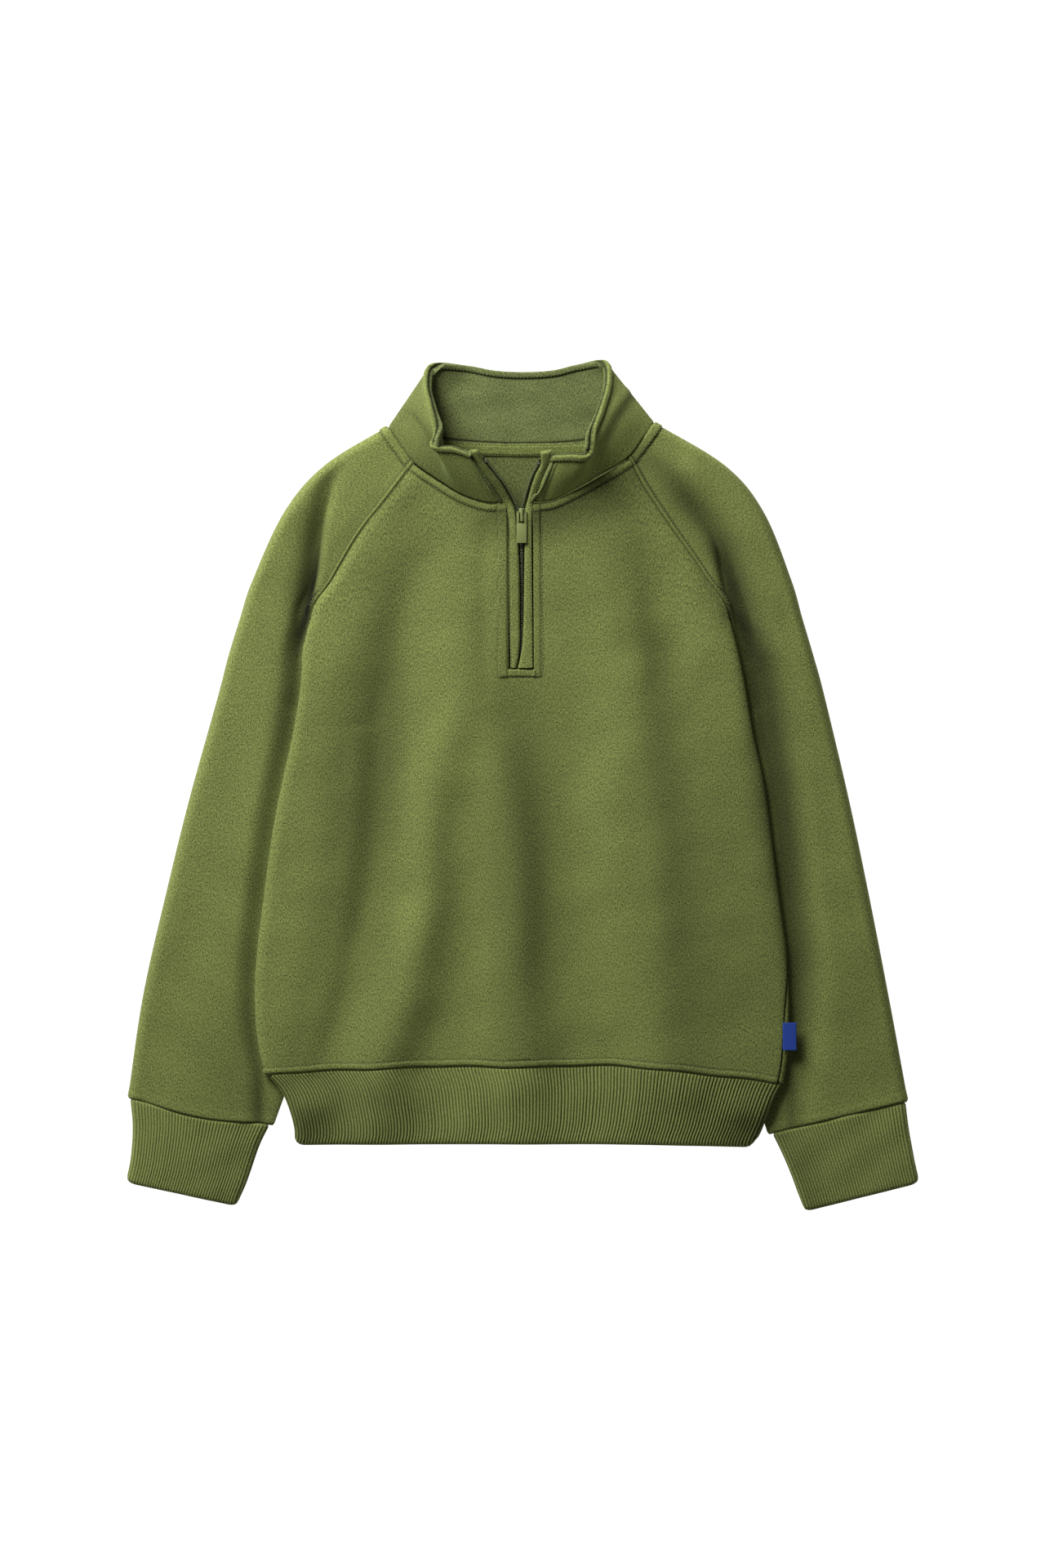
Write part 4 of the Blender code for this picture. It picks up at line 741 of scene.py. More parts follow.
def build_front():
    """The front panel: placket slot, side edges that roll under, folds and soft shade."""
    pairs = np.array(FRONT_ROWS)
    neck = neck_seam(True)
    grid = []
    for s in front_stations():
        y, mid_y = through(pairs, s)[0]
        row = []
        for side in (-1, 1):
            start = under(side, y) - (SEAM_INSET if y > ARMPIT else GAP / 2)
            near = ROLL_WIDTH * (1 - np.cos(np.linspace(0, math.pi / 2, 40)))
            every = np.concatenate([np.linspace(46, ROLL_WIDTH, 40), near[::-1], -near[1:],
                                    [-ROLL_WIDTH - 3]])
            q = np.concatenate([[start], every[(every < start - 1e-6)]])
            path = roll_point(side, y, q)
            along = np.concatenate([[0], np.cumsum(np.linalg.norm(np.diff(path, axis=0), axis=1))])
            split = max(float(np.interp(0, -q, along)), 9.0) if start > 0 else 9.0
            cut = int(np.clip(np.argmin(abs(along - split)), 3, len(q) - 3))
            first = resample(path[:cut + 1], from_seam(UNDER_COLUMNS - len(NEAR_SEAM) + 1))
            rest = resample(path[cut:], evenly(SIDE_COLUMNS))
            slot = float(OPENING[side](mid_y))
            share = np.linspace(0, 1, PANEL_COLUMNS + 1)[1:]
            near_slot = 1 - (1 - share) ** 1.5
            x = rest[-1, 0] + (slot - rest[-1, 0]) * near_slot
            edge = float(body_edge(side, y))
            inner = np.stack([x, np.full_like(x, y),
                              front_height(x, bow(x, mid_y, y, edge))], axis=1)
            half = np.concatenate([first, rest[1:], inner])
            side_y = y - droop(side, y)
            half[:, 1] = bow(half[:, 0], mid_y, side_y, edge)
            half[:, 1] += seam_wave(half[:, 0]) * smooth((-mid_y - 165) / 32)
            if s < 1:
                lift = np.interp(half[:, 0], neck[:, 0], neck[:, 1]) - bow(
                    half[:, 0], FRONT_ROWS[0][1], FRONT_ROWS[0][0], edge)
                half[:, 1] += lift * (1 - s) ** 1.3 - 0.3 * (1 - s)
            row.append(half if side < 0 else half[::-1])
        gap = np.linspace(row[0][-1], row[1][0], PLACKET_COLUMNS + 2)[1:-1]
        gap[:, 2] = front_height(gap[:, 0], gap[:, 1])
        grid.append(np.concatenate([row[0], gap, row[1]]))
    grid = np.array(grid)
    half = UNDER_COLUMNS + SIDE_COLUMNS + PANEL_COLUMNS
    slot_rows = int((grid[:, half, 1] > ZIP_END).sum())
    x, y = grid[..., 0], grid[..., 1]

    across, down = distances(grid, 1), distances(grid, 0)
    from_right, from_left = across, across[:, -1:] - across
    from_neck, from_hem = down, down[-1:] - down
    relief, painted_shading = np.zeros(x.shape), np.zeros(x.shape)

    # press lowers the face and paints shade into the colour along the line
    def press(depth, mask, shade=1.0):
        nonlocal relief, painted_shading
        relief = relief - depth * mask
        painted_shading = np.maximum(painted_shading, shade * mask)

    for side_gap in (from_right, from_left):
        press(0.5, bump(side_gap, 0, 0.55), 0.9)
    scallop = 0.12 * waves(x, 0 * y, 8, 11, 5)
    relief += (1.0 + scallop) * smooth(from_hem / 1.8) * smooth((5.6 - from_hem) / 1.5)
    press(0.9, bump(from_hem, 0, 0.8), 0.7)
    press(0.5, bump(from_hem, 5.3, 0.7), 1.0)
    neck_ridge = 1.0 * smooth(from_neck / 1.8) * smooth((6.0 - from_neck) / 1.6)
    relief += neck_ridge
    press(0.7, bump(from_neck, 0, 0.5), 1.6)
    press(0.6, bump(from_neck, 5.4, 0.9), 1.2)

    # the placket: a raised allowance each side of the welts and a bar at the end
    for side, columns in ((-1, slice(None, half)), (1, slice(half + PLACKET_COLUMNS, None))):
        slot_x = grid[:, half - 1 if side < 0 else half + PLACKET_COLUMNS, 0]
        off = abs(x[:, columns] - slot_x[:, None])
        show = smooth((y[:, columns] - 76.8) / 1.2)
        far = PLACKET_LINE[side]
        ridge = (1.05 if side < 0 else 0.8) * smooth(off / 1.0) * smooth(
            (far + 0.7 - off) / 1.4) * show
        relief[:, columns] = np.maximum(relief[:, columns], ridge)
        line = bump(off, far, 0.6) * show
        relief[:, columns] -= 0.4 * line + 0.4 * bump(off, 0, 0.7) * smooth((y[:, columns] - 83) / 1)
        painted_shading[:, columns] = np.maximum(painted_shading[:, columns], 0.8 * line)
    between = smooth((x + 15.0) / 1.0) * smooth((15.6 - x) / 1.0)
    bar = smooth((y - 77.6) / 1.2) * smooth((83.3 - y) / 0.9) * between
    relief += 0.75 * bar * (abs(x) < 9.5)
    press(0.35, bump(y, 77.6, 0.6) * between, 0.55)
    press(0.7, bump(y, 83.4, 0.5) * (abs(x) < 9.5), 1.0)

    # painted shadow below the collar, painted shade beyond the last fold and on the turned side, and
    # painted shade and light along the folds
    collar_x, amount = np.transpose(PAINTED_COLLAR_SHADOW)
    painted_shading = painted_shading + np.interp(x, collar_x, amount) * (1 - smooth((from_neck - 8) / 34)) * (
        0.3 + 0.7 * smooth((from_neck - 4) / 3))
    fold_y, amount = np.transpose(SHADE_BEYOND_FOLD)
    painted_shading = painted_shading + np.interp(-y, -fold_y, amount) * smooth((x - 88) / 22)
    turned_y, amount, reach = np.transpose(TURNED_SIDE_SHADE)
    near = (body_edge(1, y) - x) / np.interp(-y, -turned_y, reach)
    painted_shading = painted_shading + np.interp(-y, -turned_y, amount) * (1 - smooth(near)) * (x > 0)
    painted_shading = painted_shading + fold_field(BODY_SHADES, x, y)

    skip = (slice(0, slot_rows - 1), slice(half, half + PLACKET_COLUMNS + 1))
    obj, outer, normals = wall("front_panel", grid, CLOTH, [MATERIAL["jersey"],
                               MATERIAL["fleece"]], relief, 0.0, painted_shading, (0, 0, 1), skip=skip)
    finish(obj, "jersey", "front")

    halves = ((slice(None, half + 1), "last"), (slice(half + PLACKET_COLUMNS + 1, None), "first"))
    runs = []
    for columns, edge in halves:
        part, up = outer[:, columns], normals[:, columns]
        points, n = line_at(part, up, "top", 5.4)
        keep = (points[:, 0] > -74) & (points[:, 0] < 73)
        runs.append((points[keep], n[keep]))
        points, n = line_at(part, up, edge, PLACKET_LINE[-1 if edge == "last" else 1])
        keep = (points[:, 1] > 77.6) & (points[:, 1] < points[0, 1] - 7.0)
        runs.append((points[keep], n[keep]))
    points, n = line_at(outer, normals, "bottom", 5.3)
    runs.append((points, n))
    xs = np.linspace(-15.2, 15.0, 40)
    base = front_height(xs, np.full_like(xs, 77.6)) + CLOTH / 2 - 0.2
    runs.append((np.stack([xs, np.full_like(xs, 77.6), base], axis=1),
                 np.tile([0.0, 0.0, 1.0], (40, 1))))
    stitches("front_stitches", runs, "jersey", 2.35, seed=2)


def back_side(side, y):
    """Points of the back panel's side, from its inner part out to its seam."""
    if y >= ARMPIT:
        key = float(at(BACK_SEAM[side], y, 0))
        seam = key - SEAM_INSET - 0.5 * smooth((62 - y) / 18)
        z_seam = float(at(BACK_SEAM[side], y, 2))
        x = np.linspace(seam - 40, seam, 81)
        z = np.maximum(back_height(side * x, y),
                       GROUND + (z_seam - GROUND) * smooth((x - seam + 10) / 10))
        return np.stack([side * x, np.full_like(x, y), z], axis=1), seam - 30
    key = float(inner_edge(side, y))
    q = under(side, y) + GAP * 2
    edge = float(body_edge(side, y))
    near = ROLL_WIDTH * (1 - np.cos(np.linspace(math.pi / 2, 0, 20)))
    every = np.concatenate([np.linspace(edge - key + 40, ROLL_WIDTH + 0.1, 160), near,
                            -near[::-1][1:]])
    every = np.append(every[every > q + 0.05], q)
    points = roll_point(side, y, every)
    flat = every > ROLL_WIDTH
    points[flat, 2] = back_height(points[flat, 0], y)
    return points, key - 30


def build_back():
    """The back panel, which lies on the surface and carries on up to the neck seam."""
    neck = neck_seam(False)
    heights = np.concatenate([
        np.linspace(244.4, 236, 12), np.linspace(233, 72, 50), np.linspace(68, 8, 40),
        np.linspace(4, -190, 56),
        -199.3 - 5.4 + np.array((8.6, 7.2, 6.2, 5.4, 4.8, 4.3, 3.8, 3.3, 2.6, 1.9, 1.2, 0.6, 0))])
    grid = []
    for y in heights:
        halves = []
        for side in (-1, 1):
            top = SLEEVES[side][0][6] - 0.5
            side_y = y + (top - heights[0]) * smooth((y - 225) / (heights[0] - 225))
            path, ramp = back_side(side, side_y)
            path = path[abs(path[:, 0]) >= ramp]
            path = resample(path[::-1], from_seam(22))[::-1]
            x = np.linspace(0, path[0, 0], 26)[:-1]
            inner = np.stack([x, np.full_like(x, y), back_height(x, y)], axis=1)
            half = np.concatenate([inner, path])
            mid_y = y + 5.4 * smooth((-y - 160) / 45)
            edge = float(body_edge(side, min(y, 42)))
            half[:, 1] = bow(half[:, 0], mid_y, side_y - droop(side, y), edge)
            half[:, 1] += seam_wave(half[:, 0]) * smooth((-mid_y - 165) / 32)
            fade = smooth((y - 214) / 31)
            line = np.interp(half[:, 0], neck[:, 0], neck[:, 1])
            half[:, 1] += (line - 0.3 - 244.6) * fade
            halves.append(half[::-1] if side < 0 else half[1:])
        grid.append(np.concatenate(halves))
    grid = np.array(grid)
    across, down = distances(grid, 1), distances(grid, 0)
    relief, painted_shading = np.zeros(across.shape), np.zeros(across.shape)
    low = 0.25
    for off, ridge in ((across, 0), (across[:, -1:] - across, 0), (down, 1), (down[-1:] - down, 1)):
        relief += ridge * low * smooth(off / 1.6) * smooth((5.4 - off) / 1.4)
        relief -= 0.7 * bump(off, 0, 0.9) + ridge * 0.25 * bump(off, 4.4, 0.6)
        # painted shade in the seam and stitch lines
        painted_shading = np.maximum(painted_shading, np.maximum(bump(off, 0, 0.9), 0.5 * ridge * bump(off, 4.4, 0.6)))
    relief = np.minimum(relief, 0.06)
    obj, outer, normals = wall("back_panel", grid, CLOTH, [MATERIAL["jersey"],
                               MATERIAL["fleece"]], relief, 0.0, painted_shading, (0, 0, -1))
    finish(obj, "jersey", "back")
    runs = [line_at(outer, normals, "bottom", 4.4), line_at(outer, normals, "top", 5.0)]
    stitches("back_stitches", runs, "jersey", 2.5, seed=3)


# ---- sleeves, cuffs and hem band ----
def arc_share(t):
    return np.sqrt(1 - (1 - np.clip(t, 0, 1)) ** 2)


def sleeve_section(side, station):
    """The upper and the lower layer of a sleeve, each from its inner to its outer edge."""
    row = dict(zip(SLEEVE_COLUMNS, through(SLEEVES[side], station)[0]))
    front = np.array([row["front_x"], row["front_y"]])
    fold = np.array([row["fold_x"], row["fold_y"]])
    back = np.array([row["back_x"], row["back_y"]])
    tube = station >= ARMPIT_STATION
    if not tube:
        front += (fold - front) / np.linalg.norm(fold - front) * SEAM_INSET
        back += (fold - back) / np.linalg.norm(fold - back) * GAP / 2
    sag = WRIST_SAG[side] * smooth(station - 9)
    pressed = PRESSED if tube else min(row["front_z"], PRESSED + (ARMPIT_STATION - station))
    middle = row["crown"] * 0.42
    trough = falling(SLEEVE_FOLDS[side][0], 1)
    layers = []
    for start, top in ((front, True), (back, False)):
        width = np.linalg.norm(fold - start)
        ends = 1 - np.cos(np.linspace(0, math.pi / 2, 20))
        d = np.concatenate([5.0 * ends if tube else np.linspace(0, 5, 12),
                            np.linspace(5.0, width - SLEEVE_ROLL, 90)[1:-1],
                            width - SLEEVE_ROLL * ends[::-1]])
        t = d / width
        point = start + (fold - start) * t[:, None]
        x, y = side * point[:, 0], point[:, 1] - sag * np.sin(math.pi * t) ** 1.5
        if top:
            clear = point[:, 0] - body_edge(side, y)
            away = smooth((clear + 1.0) / 19) if side < 0 else smooth((clear - 5.0) / 30)
            outside = smooth((point[:, 0] - abs(trough(y)) + 3.0) / 16)
            beyond = 1 + (outside - 1) * smooth((y - 84) / 30)
            rise = 2.4 * smooth((10 - station) / 2) * beyond
            level = pressed + (row["crown"] + rise - pressed) * away
            if row["front_z"] != pressed:
                level = row["front_z"] + (level - row["front_z"]) * arc_share(d / 5.0)
            room = smooth(d / 12) * smooth((width - d) / 14)
            level = level + room * (fold_field(SLEEVE_FOLDS[side], x, y)
                                    + 0.55 * waves(x, y, 11 + side, 52))
            level = FLATTEST + np.log1p(np.exp((level - FLATTEST) / 0.5)) * 0.5
        else:
            level = GROUND + (row["back_z"] - GROUND) * (1 - arc_share(d / 5.0))
        z = middle + (level - middle) * arc_share((width - d) / SLEEVE_ROLL)
        layers.append(np.stack([x, y, z], axis=1))
    return layers


def build_sleeve(side):
    """One raglan sleeve as a flattened tube, slit along its underarm seam."""
    name = NAMES[side]
    near = np.array((0, 0.3, 0.75, 1.2, 1.8, 2.5, 3.2, 3.8, 4.4, 4.9, 5.4, 6.2, 7.4, 9.0))
    start = near / 36.0
    end = 10 - near[::-1] / 75.0
    stations = np.concatenate([start, np.linspace(start[-1], end[0], 118)[1:-1], end])
    grid = []
    for station in stations:
        upper, lower = sleeve_section(side, station)
        upper = resample(upper, from_seam(66))
        lower = resample(lower, from_seam(30))[::-1]
        grid.append(np.concatenate([upper, lower[1:]]))
    grid = np.array(grid)
    grid[0] += (grid[1] - grid[0]) * 0.5
    grid[-1, :, 1] += GAP / 2
    across, down = distances(grid, 1), distances(grid, 0)
    from_front, from_back = across, across[:, -1:] - across
    from_wrist = down[-1:] - down
    seam = smooth((grid[:, :1, 1] - VISIBLE_SEAM_END - 1) / 12)
    relief, painted_shading = np.zeros(across.shape), np.zeros(across.shape)
    upper_side = (np.arange(grid.shape[1]) < 80)[None, :] * 1.0
    ridge = 0.95 * smooth(from_front / 1.4) * smooth((5.4 - from_front) / 1.6) * seam
    relief += ridge
    relief -= (0.6 * bump(from_front, 0, 0.7) + 0.45 * bump(from_front, 4.4, 0.7)) * seam
    # painted shade in the seam lines, the stitch lines and at the wrist
    painted_shading = np.maximum(bump(from_front, 0, 0.7), 1.3 * bump(from_front, 4.4, 0.9)) * seam
    relief -= 0.6 * bump(from_back, 0, 0.9)
    painted_shading = np.maximum(painted_shading, bump(from_back, 0, 0.9))
    rise = 1.0 * smooth(down / 1.8) * smooth((7.8 - down) / 1.6)
    relief = np.maximum(relief, rise * upper_side) - 0.7 * bump(down, 0, 0.5)
    relief -= 0.6 * bump(down, 7.1, 0.7) * upper_side
    painted_shading = np.maximum(painted_shading, np.maximum(0.9 * bump(down, 0, 0.6), 1.2 * bump(down, 7.1, 0.9)))
    puff = 0.35 * smooth(from_wrist / 1.6) * smooth((9.0 - from_wrist) / 6.0)
    relief += puff * upper_side - 0.8 * bump(from_wrist, 0, 1.0)
    painted_shading = np.maximum(painted_shading, bump(from_wrist, 0, 1.0))
    flat = grid[..., 2] < 2.6
    relief = np.where(flat, np.minimum(relief, 0.05), relief)
    x, y = grid[..., 0], grid[..., 1]
    # painted shadow of the body's edge on the sleeve, and painted shade in the sleeve's hollows
    rows = np.array(BODY_EDGE_SHADOW)
    amount, full, fade = (np.interp(-y, -rows[:, 0], rows[:, k])
                          for k in ((1, 2, 3) if side < 0 else (4, 5, 6)))
    clear = side * x - body_edge(side, y)
    edge_shadow = amount * (1 - smooth((clear - full) / fade)) * (0.2 + 0.8 * smooth(clear / 8))
    painted_shading = painted_shading + (edge_shadow + fold_field(SLEEVE_SHADES[side], x, y)) * upper_side
    obj, outer, normals = wall("sleeve_" + name + "_cloth", grid, CLOTH,
                               [MATERIAL["jersey"], MATERIAL["fleece"]], relief, 0.0, painted_shading)
    finish(obj, "jersey", "sleeve_" + name)
    keep = grid[:, 0, 1] > VISIBLE_SEAM_END + 6
    runs = [tuple(a[keep] for a in line_at(outer, normals, "first", 4.4)),
            tuple(a[stations < ARMPIT_STATION] for a in line_at(outer, normals, "last", 4.2)),
            tuple(a[4:78] for a in line_at(outer, normals, "top", 7.1))]
    stitches("sleeve_" + name + "_stitches", runs, "jersey", 2.5, seed=4 + side)


def ring_path(start, end, low, high, width_roll, sag=0.0, corner=0.0):
    """Lower and upper layer of a flattened tube, each from start to end. corner is how far
    its ends are rounded off."""
    start, end = np.array(start, float), np.array(end, float)
    width = np.linalg.norm(end - start)
    ends = 1 - np.cos(np.linspace(0, math.pi / 2, 24))
    d = np.concatenate([width_roll * ends,
                        np.linspace(width_roll, width - width_roll, 260)[1:-1],
                        width - width_roll * ends[::-1]])
    point = start + (end - start) * (d / width)[:, None]
    x, y = point.T
    share = arc_share(np.minimum(d, width - d) / width_roll)
    middle = 0.5 * (low(x, y) + high(x, y))
    y_sag = y - sag * np.sin(math.pi * np.clip(d / width, 0, 1)) ** 1.5
    y_sag += corner * (1 - arc_share(np.minimum(d, width - d) / 6.0))
    return [np.stack([x, y_sag, middle + (level(x, y) - middle) * share], axis=1)
            for level in (low, high)]


def rib_wall(name, rows, ribs, samples, node, seed, shades, depth=1.0):
    """A closed tube of rib knit. rows holds each section's lower and upper layer. shades
    is the soft shade of the upper layer at even steps across, from the wearer's right."""
    grid = []
    for low, high in rows:
        low = resample(low, evenly(ribs * samples))
        high = resample(high, evenly(ribs * samples))[::-1]
        grid.append(np.concatenate([low[:-1], high[:-1]]))
    grid = np.array(grid)
    down = distances(grid, 0)
    columns = np.arange(grid.shape[1])
    wobble = 0.10 * waves(columns / samples * 2.3, 0 * columns, seed, 30, 6)
    phase = columns / samples + wobble
    crest = abs(np.cos(math.pi * phase))[None, :]
    fade = depth * smooth(down / 2.5) * (0.72 + 0.28 * smooth((down[-1:] - down) / 3.0))
    relief = (1.15 * np.sqrt(crest) - 0.8) * fade
    relief -= 0.8 * bump(down, 0, 0.9) + 0.45 * bump(down[-1:] - down, 0, 0.9)
    # painted shade between the ribs and along the seam at the top, then the painted shade across the
    # band
    painted_shading = np.maximum((1 - crest) * fade, 0.7 * bump(down, 0, 0.8))
    x = grid[..., 0]
    share = (x - x.min(1, keepdims=True)) / (x.max(1) - x.min(1))[:, None]
    painted_shading = painted_shading + np.interp(share, np.linspace(0, 1, len(shades)), shades)
    relief = np.where(grid[..., 2] < 2.6, np.minimum(relief, 0.02), relief)
    obj, outer, normals = wall(name, grid, RIB, [MATERIAL["rib"]], relief, 0.0, painted_shading,
                               ring=True)
    finish(obj, "rib", node)
    return outer, normals


def finer(rows, count, near=()):
    """Catmull-Rom rows between section rows, with extra ones near the first."""
    stations = np.concatenate([near, np.linspace(near[-1] if len(near) else 0, len(rows) - 1,
                                                 count)[1 if len(near) else 0:]])
    return stations, through(rows, stations)


def build_cuff(side):
    """One rib cuff as a flattened tube."""
    rows = []
    stations, sections = finer(CUFFS[side], 24, (0, 0.02, 0.045, 0.075, 0.11, 0.15))
    for i, values in zip(stations, sections):
        row = dict(zip(CUFF_COLUMNS, values))
        sag = WRIST_SAG[side] * (1 - i / 3)
        tuck = 0.9 * max(0.0, 1 - i * 10)
        corner = 2.4 * smooth((i - 2.2) / 0.8)
        outer = (side * row["outer_x"], row["outer_y"] + tuck)
        inner = (side * row["inner_x"], row["inner_y"] + tuck)
        ends = (inner, outer) if side > 0 else (outer, inner)
        rows.append(ring_path(*ends, lambda x, y: RIB / 2 + 0 * x,
                              lambda x, y: RIB_TOP + 0.3 * waves(x, y, 21 + side, 40, 5),
                              4.5, sag, corner))
    name = NAMES[side]
    rib_wall("cuff_" + name + "_rib", rows, 43, 8, "cuff_" + name,
             31 + side, CUFF_SHADES[side], 0.72)


def build_hem():
    """The rib band round the hem as a flattened tube."""
    rows = []
    stations, sections = finer(HEM, 20, (0, 0.02, 0.05, 0.085, 0.13))
    for i, values in zip(stations, sections):
        row = dict(zip(HEM_COLUMNS, values))
        lift, fade = float(np.clip(row["lift"], 0, 1)), 1 - i / (len(HEM) - 1)

        def low(x, y):
            reach = np.minimum(inner_edge(x, y), 164.0)
            return RIB / 2 + (OVER_SLEEVE - RIB / 2 + 0.1) * lift * smooth(
                (abs(x) - reach + 28) / 20)

        def high(x, y):
            rise = smooth((abs(x) - 126) / 30) * (BODY_SIDE - RIB_TOP) * lift
            waved = fold_field(BODY_FOLDS, x, np.full_like(x, -197.0)) * (0.25 + 0.75 * fade)
            own = RIB_TOP + waved + rise + 0.25 * waves(x, y, 25, 50, 5)
            joined_up = front_height(x, np.full_like(x, -198.0)) - 0.4
            return own + (joined_up - own) * smooth(1 - i / 2.2)

        ends = ((-row["right_x"], row["right_y"]), (row["left_x"], row["left_y"]))
        layers = ring_path(*ends, low, high, 5.5)
        corner = 3.8 * smooth((i - 3.3) / 0.7)
        for ring in layers:
            blend = min(i, 1.0)
            half = sided(ring[:, 0], BODY[-1][2] + (row["right_x"] - BODY[-1][2]) * blend,
                         BODY[-1][4] + (row["left_x"] - BODY[-1][4]) * blend)
            side_y = sided(ring[:, 0], row["right_y"], row["left_y"])
            ring[:, 1] = bow(ring[:, 0], row["mid_y"], side_y, half) + 0.9 * max(0, 1 - i * 10)
            ring[:, 1] += seam_wave(ring[:, 0]) * smooth(1 - i / 2)
            from_end = sided(ring[:, 0], row["right_x"], row["left_x"]) - abs(ring[:, 0])
            ring[:, 1] += corner * (1 - arc_share(from_end / 6.0))
        rows.append(layers)
    # painted shade across the band's upper layer, from the wearer's right
    rib_wall("hem_rib_band", rows, 150, 6, "hem_rib", 41,
             (0.3, 0.25, 0.15, 0.0, 0.0, 0.0, 0.05, 0.15, 0.25, 0.45))


# ---- collar and its trim ----
def beside_line(line, x, y):
    """Signed distance of each point from a line, and how far it lies within its length."""
    nearest, off, reach = np.full(x.shape, 1e9), np.zeros(x.shape), np.zeros(x.shape)
    steps = np.diff(line, axis=0)
    total = np.linalg.norm(steps, axis=1).sum()
    start = 0.0
    for a, step in zip(line, steps):
        length = np.linalg.norm(step)
        t = step / length
        along = np.clip((x - a[0]) * t[0] + (y - a[1]) * t[1], 0, length)
        gap = np.hypot(x - a[0] - along * t[0], y - a[1] - along * t[1])
        turn = t[0] * (y - a[1]) - t[1] * (x - a[0])
        closer = gap < nearest
        nearest = np.where(closer, gap, nearest)
        off = np.where(closer, np.sign(turn) * gap, off)
        share = (start + along) / total
        reach = np.where(closer, smooth(share / 0.25) * smooth((1 - share) / 0.25), reach)
        start += length
    return off, reach


# soft creases of the collar: points of its line, height and width
COLLAR_CREASES = (
    (((-88.0, 262.0), (-82.6, 266.5), (-76.3, 263.6), (-70.5, 255.6), (-64.0, 246.0),
      (-58.0, 238.0)), 1.7, 2.2),
    (((88.0, 288.0), (76.0, 276.0), (66.0, 262.0), (58.0, 246.0), (52.0, 232.0)), 1.0, 4.5),
)
# painted light and shade of the collar's outer layer round its length: sections and amounts
COLLAR_PAINTED_SHADING = ((0, 1.9, 2.1, 3, 5.5, 6.5, 11.5, 12.5, 14.0, 15.6, 16.4, 18),
               (-0.45, -0.45, -0.2, 0.35, 0.7, 0.4, 0.0, -0.25, -0.7, -1.1, -1.0, -0.7))


def collar_grid():
    """Mid points of the collar's outer layer, from neck seam to rim, and outward normals."""
    fold = np.arange(-24, 25) / 40
    stations = np.unique(np.round(np.concatenate([
        np.linspace(0, 18, 289), 6 + fold, 12 + fold,
        np.array((0.02, 0.045, 0.07, 0.1)), 18 - np.array((0.02, 0.045, 0.07, 0.1))]), 4))
    near = np.array((0, 0.4, 0.9, 1.5, 2.2, 3.0, 3.8, 4.4, 5.0, 5.6, 6.4, 7.6))
    columns = []
    for values in through(COLLAR, stations):
        row = dict(zip(COLLAR_COLUMNS, values))
        neck = np.array([row["neck_x"], row["neck_y"], row["neck_z"]])
        rim = np.array([row["rim_x"], row["rim_y"], row["rim_z"]])
        length = np.linalg.norm(rim - neck)
        d = np.concatenate([COLLAR_START + near, np.linspace(
            COLLAR_START + near[-1], length - near[-1], 18)[1:-1], length - near[::-1]])
        t = (d / length)[:, None]
        swell = np.concatenate([np.zeros((len(d), 2)), row["swell"] * np.sin(math.pi * t)], axis=1)
        columns.append(neck + (rim - neck) * t + swell)
    grid = np.array(columns).transpose(1, 0, 2)
    grid[:, 0, 0] -= GAP
    grid[:, -1, 0] += GAP
    normals = grid_normals(grid)
    if normals[20, 40, 2] < 0:
        normals = -normals
    return grid, normals, stations


